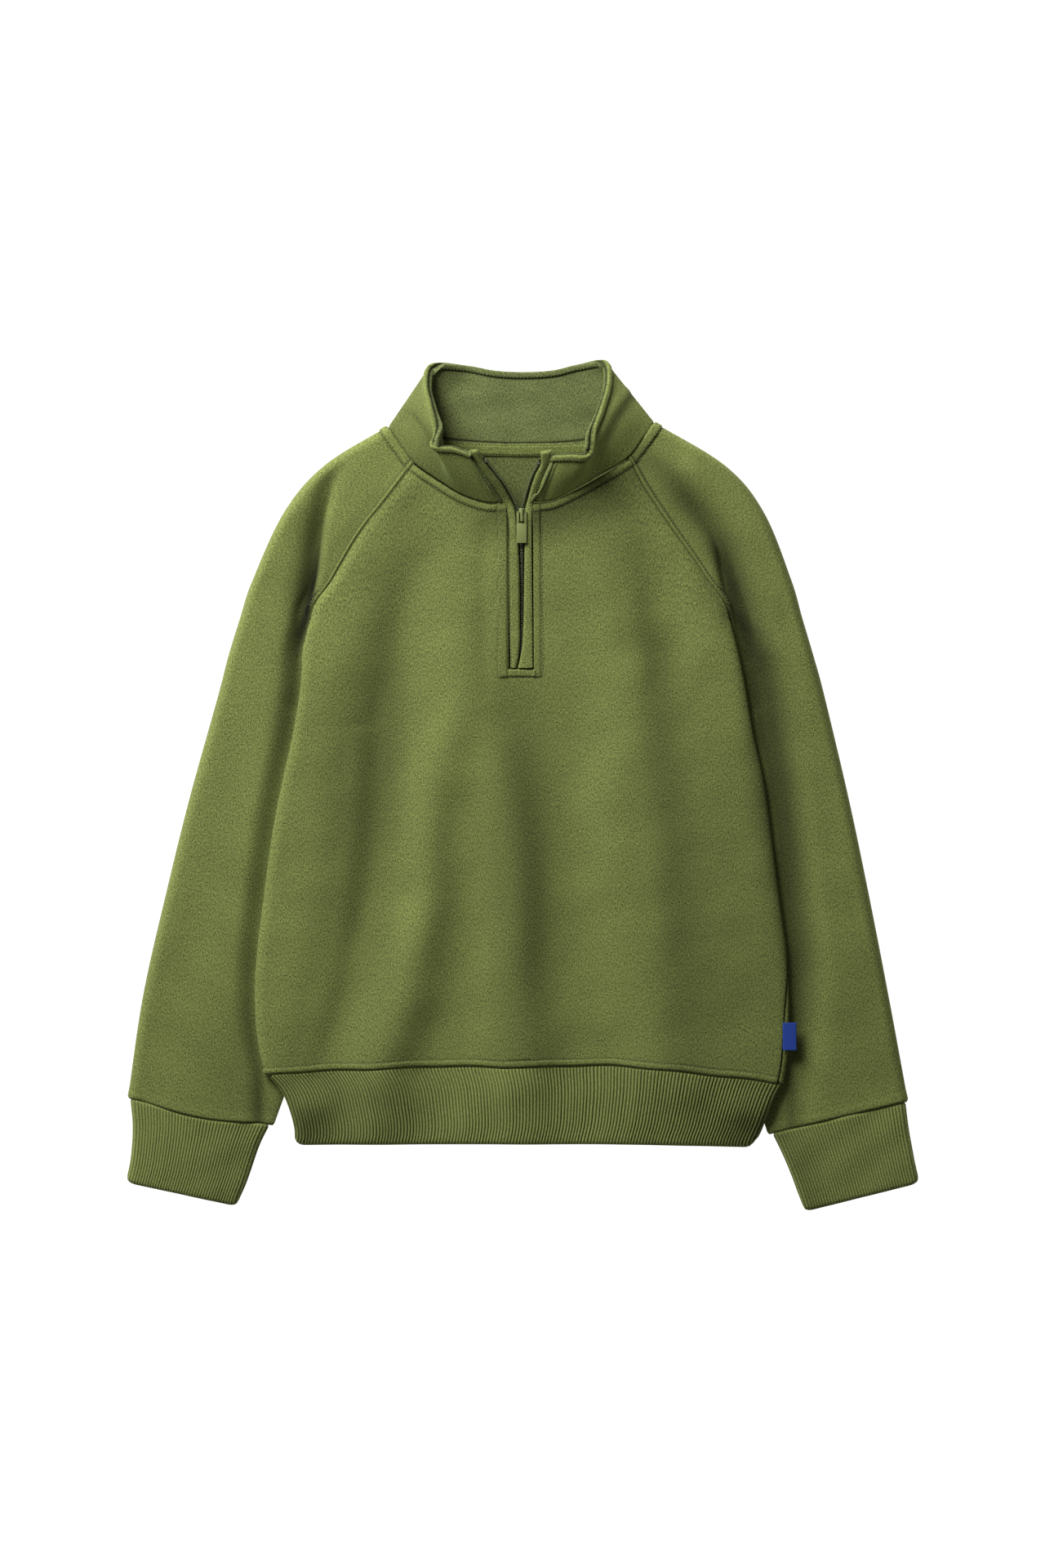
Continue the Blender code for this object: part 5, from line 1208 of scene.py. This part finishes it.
def build_collar():
    """The two layers of the stand collar, with their creases and topstitching."""
    grid, normals, stations = collar_grid()
    from_neck = distances(grid, 0)
    from_rim = from_neck[-1:] - from_neck
    across = distances(grid, 1)
    from_zip = np.minimum(across, across[:, -1:] - across)
    puff = 1.2 * smooth((5.2 - from_rim) / 1.6)
    rim = puff - 1.3 * (1 - arc_share(from_rim / 1.6)) - 0.5 * bump(from_rim, 5.0, 0.7)
    relief = rim - 0.6 * bump(from_neck, 0, 0.6) - 0.7 * bump(from_zip, 0, 0.9)
    relief += 0.4 * smooth(from_zip / 1.4) * smooth((7.2 - from_zip) / 2.0) * smooth(
        (from_rim - 5.5) / 2)
    relief -= 0.3 * bump(from_zip, 6.2, 0.6) * smooth((from_rim - 5.5) / 2)
    rim_line = 0.9 * bump(from_rim, 5.0, 0.7)
    # painted shade along the neck seam and, on the inner faces, where the two layers meet at the rim
    at_seam = np.where(stations > 12, 2.4, 0.9) * bump(from_neck, 0, 1.3)
    between = 1.7 * bump(from_rim, 0, 1.0) + at_seam
    painted_shading = np.maximum.reduce([rim_line, at_seam, bump(from_zip, 0, 0.8),
                                0.5 * bump(from_zip, 6.2, 0.6) * smooth((from_rim - 5.5) / 2)])
    x, y = grid[..., 0], grid[..., 1]
    front = (abs(stations - 9) > 3.2)[None, :] * 1.0
    for line, height, width in COLLAR_CREASES:
        off, reach = beside_line(np.array(line), x, y)
        soft = height * (bump(off, -width * 0.7, width) - 0.7 * bump(off, width * 0.7, width))
        relief = relief + soft * reach * front
        # painted shade along each crease
        painted_shading = painted_shading + 0.7 * bump(off, 0.4, 0.75 * width) * reach * front
    # painted light and shade round the collar's length
    shaded = np.interp(stations, COLLAR_PAINTED_SHADING[0], COLLAR_PAINTED_SHADING[1])[None, :]
    painted_shading = painted_shading + shaded * smooth((from_rim - 5) / 4)
    # painted light on the lower part of the collar's front on the wearer's left
    low = smooth((stations - 12.8) / 1.4)[None, :]
    painted_shading = painted_shading - 0.9 * low * (1 - smooth((from_neck - 2) / 17)) * smooth((from_neck - 0.6) / 0.8)
    cloths = [MATERIAL["jersey"], MATERIAL["fleece"]]
    obj, outer, up = wall("collar_outer_cloth", grid, CLOTH, cloths, relief, 0.0, painted_shading, normals,
                          painted_shading_under=between)
    finish(obj, "jersey", "collar_outer")

    apart = 1.12 - 0.17 * smooth((3.2 - abs(stations - 9)) / 1.5)
    inside = grid - LAYER * apart[None, :, None] * normals
    away = np.minimum(abs(stations - 6), abs(stations - 12)) > 0.3
    inside = inside[:, away]
    rim, rim_line, between = rim[:, away], rim_line[:, away], between[:, away]
    lower, upper = from_neck[:, away], from_rim[:, away]
    # painted shade on the inner layer just above the neck tape, at the back
    at_back = 2.0 * smooth((3.1 - abs(stations[away] - 9)) / 0.5)
    soft = 0.4 * waves(inside[..., 0], inside[..., 1] * 1.3, 71, 27, 7)
    soft = soft * smooth((upper - 6) / 8) * smooth(lower / 10)
    obj, inner, down = wall("collar_inner_cloth", inside, CLOTH, [MATERIAL["inside"],
                            MATERIAL["fleece"]], rim + soft - 0.6 * bump(lower, 0, 1.0), 0.0,
                            np.maximum(rim_line, bump(lower, 4.5, 0.8) * at_back), -normals[:, away],
                            painted_shading_under=between)
    finish(obj, "jersey", "collar_inner")
    last = len(grid) - 1
    runs = [line_at(outer, up, "bottom", 4.7), line_at(inner, down, "bottom", 4.7)]
    for edge in ("first", "last"):
        points, n = line_at(outer, up, edge, 6.2)
        runs.append((points[3:last - 14], n[3:last - 14]))
    stitches("collar_stitches", runs, "jersey", 2.4, seed=6)


def build_neck_tape():
    """The tape that covers the back neck seam on the inside."""
    rows = []
    for t in np.linspace(0, 1, 15):
        x = np.linspace(-66, 64, 90)
        top = 243.9 + 1.6 * (abs(x) / 55) ** 2
        low = 234.4 + 2.2 * (abs(x) / 50) ** 2
        y = top + (low - top) * t
        z = 4.7 - 2.3 * t + 0.15 * waves(x, y, 31, 26, 5)
        rows.append(np.stack([x, y, z], axis=1))
    grid = np.array(rows)
    down = distances(grid, 0)
    edge = np.minimum(down, down[-1:] - down)
    relief = 0.5 * smooth(edge / 2.4) - 0.3 * bump(edge, 0, 0.4) - 0.45 * bump(edge, 1.1, 0.5)
    # painted shade along the stitch lines and edges, painted light over the rest of the tape
    painted_shading = np.maximum(0.9 * bump(edge, 1.1, 0.5), 0.7 * bump(edge, 0, 0.35)) - 0.35
    obj, outer, up = wall("neck_seam_tape", grid, TAPE_WALL, [MATERIAL["jersey"]], relief, 0.0,
                          painted_shading, (0, 0, 1))
    finish(obj, "jersey", "neck_tape")
    stitches("neck_tape_stitches", [line_at(outer, up, "top", 1.1),
                                    line_at(outer, up, "bottom", 1.1)], "jersey", 2.3, seed=7)


# ---- placket: welts and zip ----
WELT_UP = falling(WELT_RISE, 1)


def welt_height(y):
    """Mid height of the welts: on the front, then up along the collar's edges."""
    y = np.asarray(y, float)
    flat = front_height(0 * y, y) + 0.3
    return np.where(y > WELT_RISE[2][0], WELT_UP(y),
                    np.where(y > 186, flat + (WELT_UP(y) - flat) * smooth((y - 186) / 14), flat))


def welt_rows(side):
    return WELT_RIGHT if side < 0 else WELT_LEFT


def build_welt(side):
    """One folded strip that covers the zip, from the collar's edge to the placket's end."""
    rows = welt_rows(side)
    grid = []
    for values in through(rows, np.linspace(0, len(rows) - 1, 150)):
        row = dict(zip(WELT_COLUMNS, values))
        t = 0.5 - 0.5 * np.cos(np.linspace(0, math.pi, 19))
        x = row["out_x"] + (row["in_x"] - row["out_x"]) * t
        y = row["out_y"] + (row["in_y"] - row["out_y"]) * t
        grid.append(np.stack([x, y, welt_height(y)], axis=1))
    grid = np.array(grid)
    across, down = distances(grid, 1), distances(grid, 0)
    edge = np.minimum(across, across[:, -1:] - across)
    inner = across[:, -1:] - across
    round_off = 1.15 * (1 - arc_share(inner / 1.5)) + 0.5 * (1 - arc_share(across / 0.8))
    round_off = round_off + 1.0 * (1 - arc_share(down / 2.0))
    relief = 0.35 * smooth(edge / 2.2) - round_off + 0.15 * waves(0 * down, down, 51 + side, 16, 5)
    # painted shade along the strip's edges
    painted_shading = np.maximum(0.9 * bump(across, 0, 0.7), 0.5 * bump(across[:, -1:] - across, 0, 0.5))
    name = NAMES[side]
    obj, outer, up = wall("welt_" + name + "_strip", grid, WELT, [MATERIAL["jersey"]], relief,
                          -0.7 * (1 - arc_share(edge / 1.5)), painted_shading, (0, 0, 1))
    finish(obj, "jersey", "welt_" + name)
    points, n = line_at(outer, up, "first", 0.9)
    stitches("welt_" + name + "_stitches", [(points[4:], n[4:])], "jersey", 2.4, seed=8 + side)


def tape_height(y):
    return welt_height(y) - WELT / 2 - TAPE / 2 - GAP - 0.2 - 0.3 * smooth((y - 196) / 8)


def tape_edge(side, count):
    """The zip tape's edge beside the opening, from the collar down."""
    rows = welt_rows(side)
    x, y = through(rows, np.linspace(0.5, len(rows) - 1, count))[:, 2:].T
    closed = smooth((200 - y) / 12)
    return (x - side * 2.0) * (1 - closed) + side * 0.35 * closed, y


def build_tape(side):
    """One zip tape, where it shows beside its welt."""
    x, y = tape_edge(side, 90)
    grid = np.array([[(a + side * d, b, tape_height(b)) for d in np.linspace(5.0, 0.0, 9)]
                     for a, b in zip(x, y)])
    name = NAMES[side]
    obj = wall("zip_tape_" + name + "_weave", grid, TAPE_WALL, [MATERIAL["tape"]],
               facing=(0, 0, 1))[0]
    finish(obj, "tape", "zip_tape_" + name)


def link(made):
    """Object just made by an operator, with its place and size held in its mesh."""
    bpy.ops.object.transform_apply(location=True, rotation=True, scale=True)
    obj = bpy.context.object
    obj.name = made
    obj.data.name = made
    return obj


def block(name, size, centre, bevel=0.0, segments=3):
    """A box of that size and place, with its edges rounded."""
    bpy.ops.mesh.primitive_cube_add(size=1.0, location=[c * MM for c in centre],
                                    scale=[s * MM for s in size])
    obj = link(name)
    if bevel:
        bpy.ops.object.mode_set(mode="EDIT")
        bpy.ops.mesh.select_all(action="SELECT")
        bpy.ops.mesh.bevel(offset=bevel * MM, segments=segments)
        bpy.ops.object.mode_set(mode="OBJECT")
    return obj


def joined(name, pieces, material):
    for chosen in list(bpy.context.selected_objects):
        chosen.select_set(False)
    for piece in pieces:
        piece.select_set(True)
    bpy.context.view_layer.objects.active = pieces[0]
    if len(pieces) > 1:
        bpy.ops.object.join()
    obj = bpy.context.object
    obj.name = name
    obj.data.name = name
    obj.data.materials.clear()
    obj.data.materials.append(material)
    bpy.ops.object.shade_smooth_by_angle(angle=math.radians(40))
    obj.select_set(False)
    return obj


def build_coil(side):
    """One half of the zip's coil: small upright loops along the tape's edge."""
    x, y = tape_edge(side, 400)
    line = np.stack([x - side * 0.55, y, tape_height(y) + 0.95], axis=1)
    along = np.concatenate([[0], np.cumsum(np.linalg.norm(np.diff(line, axis=0), axis=1))])
    bpy.ops.mesh.primitive_torus_add(major_radius=0.85 * MM, minor_radius=0.3 * MM,
                                     major_segments=12, minor_segments=6,
                                     rotation=(math.pi / 2, 0, 0))
    loop = link("coil_loop")
    bpy.ops.object.mode_set(mode="EDIT")
    bpy.ops.mesh.select_all(action="SELECT")
    bpy.ops.transform.resize(value=(1.3, 1.0, 0.75))
    bpy.ops.object.mode_set(mode="OBJECT")
    loops = []
    for spot in np.arange(3.0, along[-1] - 1.0, 1.5):
        place = [np.interp(spot, along, line[:, k]) * MM for k in range(3)]
        copy = loop.copy()
        copy.data = loop.data.copy()
        copy.data.transform(Matrix.Translation(place))
        bpy.context.scene.collection.objects.link(copy)
        loops.append(copy)
    bpy.data.objects.remove(loop)
    name = NAMES[side]
    return finish(joined("zip_coil_" + name, loops, MATERIAL["coil"]), "tape")


def build_stop(side):
    """One metal stop at the zip's upper end."""
    x, y = through(welt_rows(side), 0.9)[0, 2:]
    z = float(tape_height(y))
    name = NAMES[side]
    stop = block("stop_bar", (1.3, 2.0, 1.3), (x - side * 1.5, y, z + 1.0), 0.35)
    finish(joined("zip_stop_" + name + "_metal", [stop], MATERIAL["metal"]), "metal",
           "zip_stop_" + name)


def build_slider():
    """The slider's body and the bridge that the pull's pin turns under."""
    low_box, high_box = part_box("zip_slider")
    low, high = np.array(low_box) / MM, np.array(high_box) / MM
    middle = (low + high) / 2
    floor, top = low[2], high[2] - 3.1
    pieces = [
        block("slider_body", (4.0, 10.4, top - floor), (0, middle[1], (floor + top) / 2), 0.5),
        block("bridge_foot_up", (1.8, 1.4, 3.1), (0, PIN_Y + 1.9, top + 1.4), 0.3),
        block("bridge_foot_low", (1.8, 1.4, 3.1), (0, PIN_Y - 6.0, top + 1.4), 0.3),
        block("bridge", (1.8, 9.3, 1.0), (0, PIN_Y - 2.05, high[2] - 0.5), 0.4),
    ]
    finish(joined("zip_slider_body", pieces, MATERIAL["pull"]), "pull", "zip_slider")


def build_pull():
    """The pull tab: two arms round the window, a crossbar as pin, and a plate."""
    low_box, high_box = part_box("zip_pull")
    z = (low_box[2] + high_box[2]) / 2 / MM
    top, low = PIN_Y + 0.6, PIN_Y + 0.6 - PULL_LENGTH
    plate_top = PIN_Y - 0.6 - WINDOW_LENGTH
    arm = (PULL_WIDTH - WINDOW_WIDTH) / 2
    pieces = [
        block("pull_plate", (PULL_WIDTH, plate_top - low, PULL_THICK),
              (0, (plate_top + low) / 2, z), 0.35),
        block("pull_pin", (PULL_WIDTH - 0.4, 1.2, PULL_THICK), (0, PIN_Y, z), 0.35),
    ]
    for side in (-1, 1):
        pieces.append(block("pull_arm", (arm, top - plate_top + 0.6, PULL_THICK),
                            (side * (WINDOW_WIDTH + arm) / 2, (top + plate_top - 0.6) / 2, z),
                            0.3))
    obj = joined("zip_pull_tab", pieces, MATERIAL["pull"])
    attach(obj, "pull_tab")
    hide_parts("zip_pull")


def build_label():
    """A bare folded loop that leaves the side seam and lies out over the back's edge."""
    seam = roll_point(1, LABEL_Y, np.array([-3.4]))[0]
    mid = LABEL_LEAF / 2 + GAP / 2
    lift = CLOTH / 2 + GAP + LABEL_LEAF + GAP / 2 + 0.5
    flat = np.linspace(0, LABEL_LENGTH - mid, 22)
    turn = np.radians(np.linspace(80, -80, 9))
    d = np.concatenate([flat, LABEL_LENGTH - mid + mid * np.cos(turn), flat[::-1]])
    z = np.concatenate([mid + 0 * flat, mid * np.sin(turn), -mid + 0 * flat])
    z = z - 0.6 * (d / LABEL_LENGTH) ** 2
    grid = np.array([np.stack([seam[0] + d + 0.15 * math.sin(y), y + 0 * d, seam[2] + lift + z],
                              axis=1)
                     for y in LABEL_Y + np.linspace(LABEL_WIDTH / 2, -LABEL_WIDTH / 2, 40)])
    obj = wall("side_label_loop", grid, LABEL_LEAF, [MATERIAL["label"]])[0]
    finish(obj, "label", "side_label")


# ---- materials ----
def node(tree, kind, inputs=(), **settings):
    made = tree.nodes.new(kind)
    for key, value in settings.items():
        setattr(made, key, value)
    for key, value in dict(inputs).items():
        if isinstance(value, bpy.types.NodeSocket):
            tree.links.new(value, made.inputs[key])
        else:
            made.inputs[key].default_value = value
    return made


def maths(tree, operation, a, b=0.0, clamp=False):
    return node(tree, "ShaderNodeMath", {0: a, 1: b}, operation=operation,
                use_clamp=clamp).outputs[0]


def noise(tree, vector, scale, detail=2.0, rough=0.5):
    return node(tree, "ShaderNodeTexNoise", {"Vector": vector, "Scale": scale, "Detail": detail,
                                             "Roughness": rough}).outputs["Fac"]


def knit_group():
    """Tone and height of brushed jersey, from cloth coordinates in metres."""
    tree = bpy.data.node_groups.new("jersey_grain", "ShaderNodeTree")
    tree.interface.new_socket("Cloth", in_out="INPUT", socket_type="NodeSocketVector")
    tree.interface.new_socket("Tone", in_out="OUTPUT", socket_type="NodeSocketFloat")
    tree.interface.new_socket("Height", in_out="OUTPUT", socket_type="NodeSocketFloat")
    start = tree.nodes.new("NodeGroupInput")
    end = tree.nodes.new("NodeGroupOutput")
    turned = node(tree, "ShaderNodeMapping", {"Vector": start.outputs["Cloth"],
                  "Rotation": (0, 0, math.radians(-52)), "Scale": (1.0, 0.42, 1.0)})
    slant = noise(tree, turned.outputs[0], 1250.0, 1.0, 0.5)
    loops = node(tree, "ShaderNodeMapping", {"Vector": start.outputs["Cloth"],
                 "Scale": (1.0, 0.75, 1.0)})
    fine = noise(tree, loops.outputs[0], 1150.0, 0.0)
    soft = noise(tree, start.outputs["Cloth"], 170.0, 2.0, 0.5)
    broad = noise(tree, start.outputs["Cloth"], 22.0, 2.0)
    grain = maths(tree, "ADD", maths(tree, "MULTIPLY", slant, 0.5),
                  maths(tree, "MULTIPLY", fine, 0.5))
    tone = maths(tree, "MULTIPLY", maths(tree, "SUBTRACT", grain, 0.5), 2.8)
    tone = maths(tree, "ADD", tone, maths(tree, "MULTIPLY", maths(tree, "SUBTRACT", soft, 0.5), 0.22))
    tone = maths(tree, "ADD", tone, maths(tree, "MULTIPLY", maths(tree, "SUBTRACT", broad, 0.5), 0.22))
    tree.links.new(maths(tree, "ADD", tone, 1.0), end.inputs["Tone"])
    tree.links.new(grain, end.inputs["Height"])
    return tree


def cloth_material(name, color, grain, roughness=0.92, strength=0.5, tone=1.0, shade=0.45,
                   sheen=0.25, stretch=1.0):
    """Cloth whose tone follows its grain, with painted shade in seams, between ribs and in hollows,
    and painted light where the amount is negative.
    """
    made = bpy.data.materials.new(name)
    made.use_nodes = True
    tree = made.node_tree
    shader = tree.nodes["Principled BSDF"]
    coords = node(tree, "ShaderNodeUVMap", uv_map="cloth")
    mapped = node(tree, "ShaderNodeMapping", {"Vector": coords.outputs[0],
                  "Scale": (stretch, stretch, stretch)})
    knit = node(tree, "ShaderNodeGroup", node_tree=grain)
    tree.links.new(mapped.outputs[0], knit.inputs["Cloth"])
    # the painted shading amount of each point, which darkens the base colour and lightens it where
    # negative
    seam = node(tree, "ShaderNodeAttribute", attribute_name="painted_shading")
    dark = maths(tree, "SUBTRACT", 1.0, maths(tree, "MULTIPLY", seam.outputs["Fac"], shade))
    level = maths(tree, "ADD", maths(tree, "MULTIPLY", maths(tree, "SUBTRACT",
                  knit.outputs["Tone"], 1.0), tone), 1.0)
    level = maths(tree, "MULTIPLY", level, dark)
    tint = node(tree, "ShaderNodeVectorMath", {0: (*color,), "Scale": level}, operation="SCALE")
    tree.links.new(tint.outputs[0], shader.inputs["Base Color"])
    raised = node(tree, "ShaderNodeBump", {"Height": knit.outputs["Height"],
                  "Strength": strength, "Distance": 0.0006})
    tree.links.new(raised.outputs[0], shader.inputs["Normal"])
    shader.inputs["Roughness"].default_value = roughness
    shader.inputs["Sheen Weight"].default_value = sheen
    shader.inputs["Sheen Roughness"].default_value = 0.5
    shader.inputs["Sheen Tint"].default_value = (0.62, 0.72, 0.34, 1.0)
    shader.inputs["Specular IOR Level"].default_value = 0.15
    return made


def plain_material(name, color, roughness, metallic=0.0, coat=0.0):
    made = bpy.data.materials.new(name)
    made.use_nodes = True
    shader = made.node_tree.nodes["Principled BSDF"]
    shader.inputs["Base Color"].default_value = (*color, 1.0)
    shader.inputs["Roughness"].default_value = roughness
    shader.inputs["Metallic"].default_value = metallic
    shader.inputs["Coat Weight"].default_value = coat
    return made


def make_materials():
    """Every material of the garment, by its short name."""
    grain = knit_group()
    MATERIAL["jersey"] = cloth_material("green_jersey", JERSEY_COLOR, grain)
    # the inner collar's material: the jersey with painted shade in its colour
    MATERIAL["inside"] = cloth_material("green_jersey_inside_shaded", INSIDE_SHADED_COLOR, grain)
    MATERIAL["fleece"] = cloth_material("green_fleece_inside", FLEECE_SHADED_COLOR, grain, tone=0.9,
                                        strength=0.6, sheen=0.35, stretch=0.8)
    MATERIAL["rib"] = cloth_material("green_rib", RIB_COLOR, grain, tone=0.5, shade=0.74)
    MATERIAL["tape"] = cloth_material("zip_tape_green", TAPE_SHADED_COLOR, grain, sheen=0.1, stretch=1.6)
    MATERIAL["label"] = cloth_material("blue_woven_label", LABEL_COLOR, grain, roughness=0.6,
                                       tone=0.35, sheen=0.15, stretch=1.8)
    MATERIAL["thread"] = plain_material("green_thread", THREAD_SHADED_COLOR, 0.7)
    MATERIAL["coil"] = plain_material("zip_coil_green", TAPE_SHADED_COLOR, 0.45)
    MATERIAL["pull"] = plain_material("green_satin_pull", PULL_COLOR, 0.38, coat=0.15)
    MATERIAL["metal"] = plain_material("stop_metal", METAL_COLOR, 0.3, 1.0)


# ---- floor, light and camera ----
def build_studio():
    """Pale floor, soft light and the camera above."""
    bpy.ops.mesh.primitive_plane_add(size=FLOOR_SIZE, location=(0, 0, FLOOR_Z))
    floor = link("pale_floor")
    made = plain_material("pale_floor_surface", FLOOR_COLOR, 0.9)
    shader = made.node_tree.nodes["Principled BSDF"]
    shader.inputs["Emission Color"].default_value = (1, 1, 1, 1)
    shader.inputs["Emission Strength"].default_value = FLOOR_GLOW
    shader.inputs["Specular IOR Level"].default_value = 0.0
    floor.data.materials.append(made)
    world = bpy.data.worlds.new("studio")
    bpy.context.scene.world = world
    world.use_nodes = True
    world.node_tree.nodes["Background"].inputs["Color"].default_value = (1, 1, 1, 1)
    world.node_tree.nodes["Background"].inputs["Strength"].default_value = WORLD_LIGHT
    for name, place, size, power in LAMPS:
        lamp = bpy.data.lights.new(name, "AREA")
        lamp.shape = "SQUARE"
        lamp.size = size
        lamp.energy = power
        obj = bpy.data.objects.new(name, lamp)
        obj.location = place
        obj.rotation_euler = (-Vector(place)).to_track_quat("-Z", "Y").to_euler()
        bpy.context.scene.collection.objects.link(obj)
    camera = bpy.data.cameras.new("camera")
    camera.lens = CAMERA_LENS
    camera.sensor_width = CAMERA_SENSOR
    seen = bpy.data.objects.new("camera", camera)
    seen.location = CAMERA_PLACE
    bpy.context.scene.collection.objects.link(seen)
    bpy.context.scene.camera = seen
    bpy.context.scene.view_settings.view_transform = "Standard"


make_materials()
build_front()
build_back()
for side in (-1, 1):
    build_sleeve(side)
    build_cuff(side)
    build_welt(side)
    build_tape(side)
    build_coil(side)
    build_stop(side)
build_hem()
build_collar()
build_neck_tape()
build_slider()
build_pull()
build_label()
build_studio()
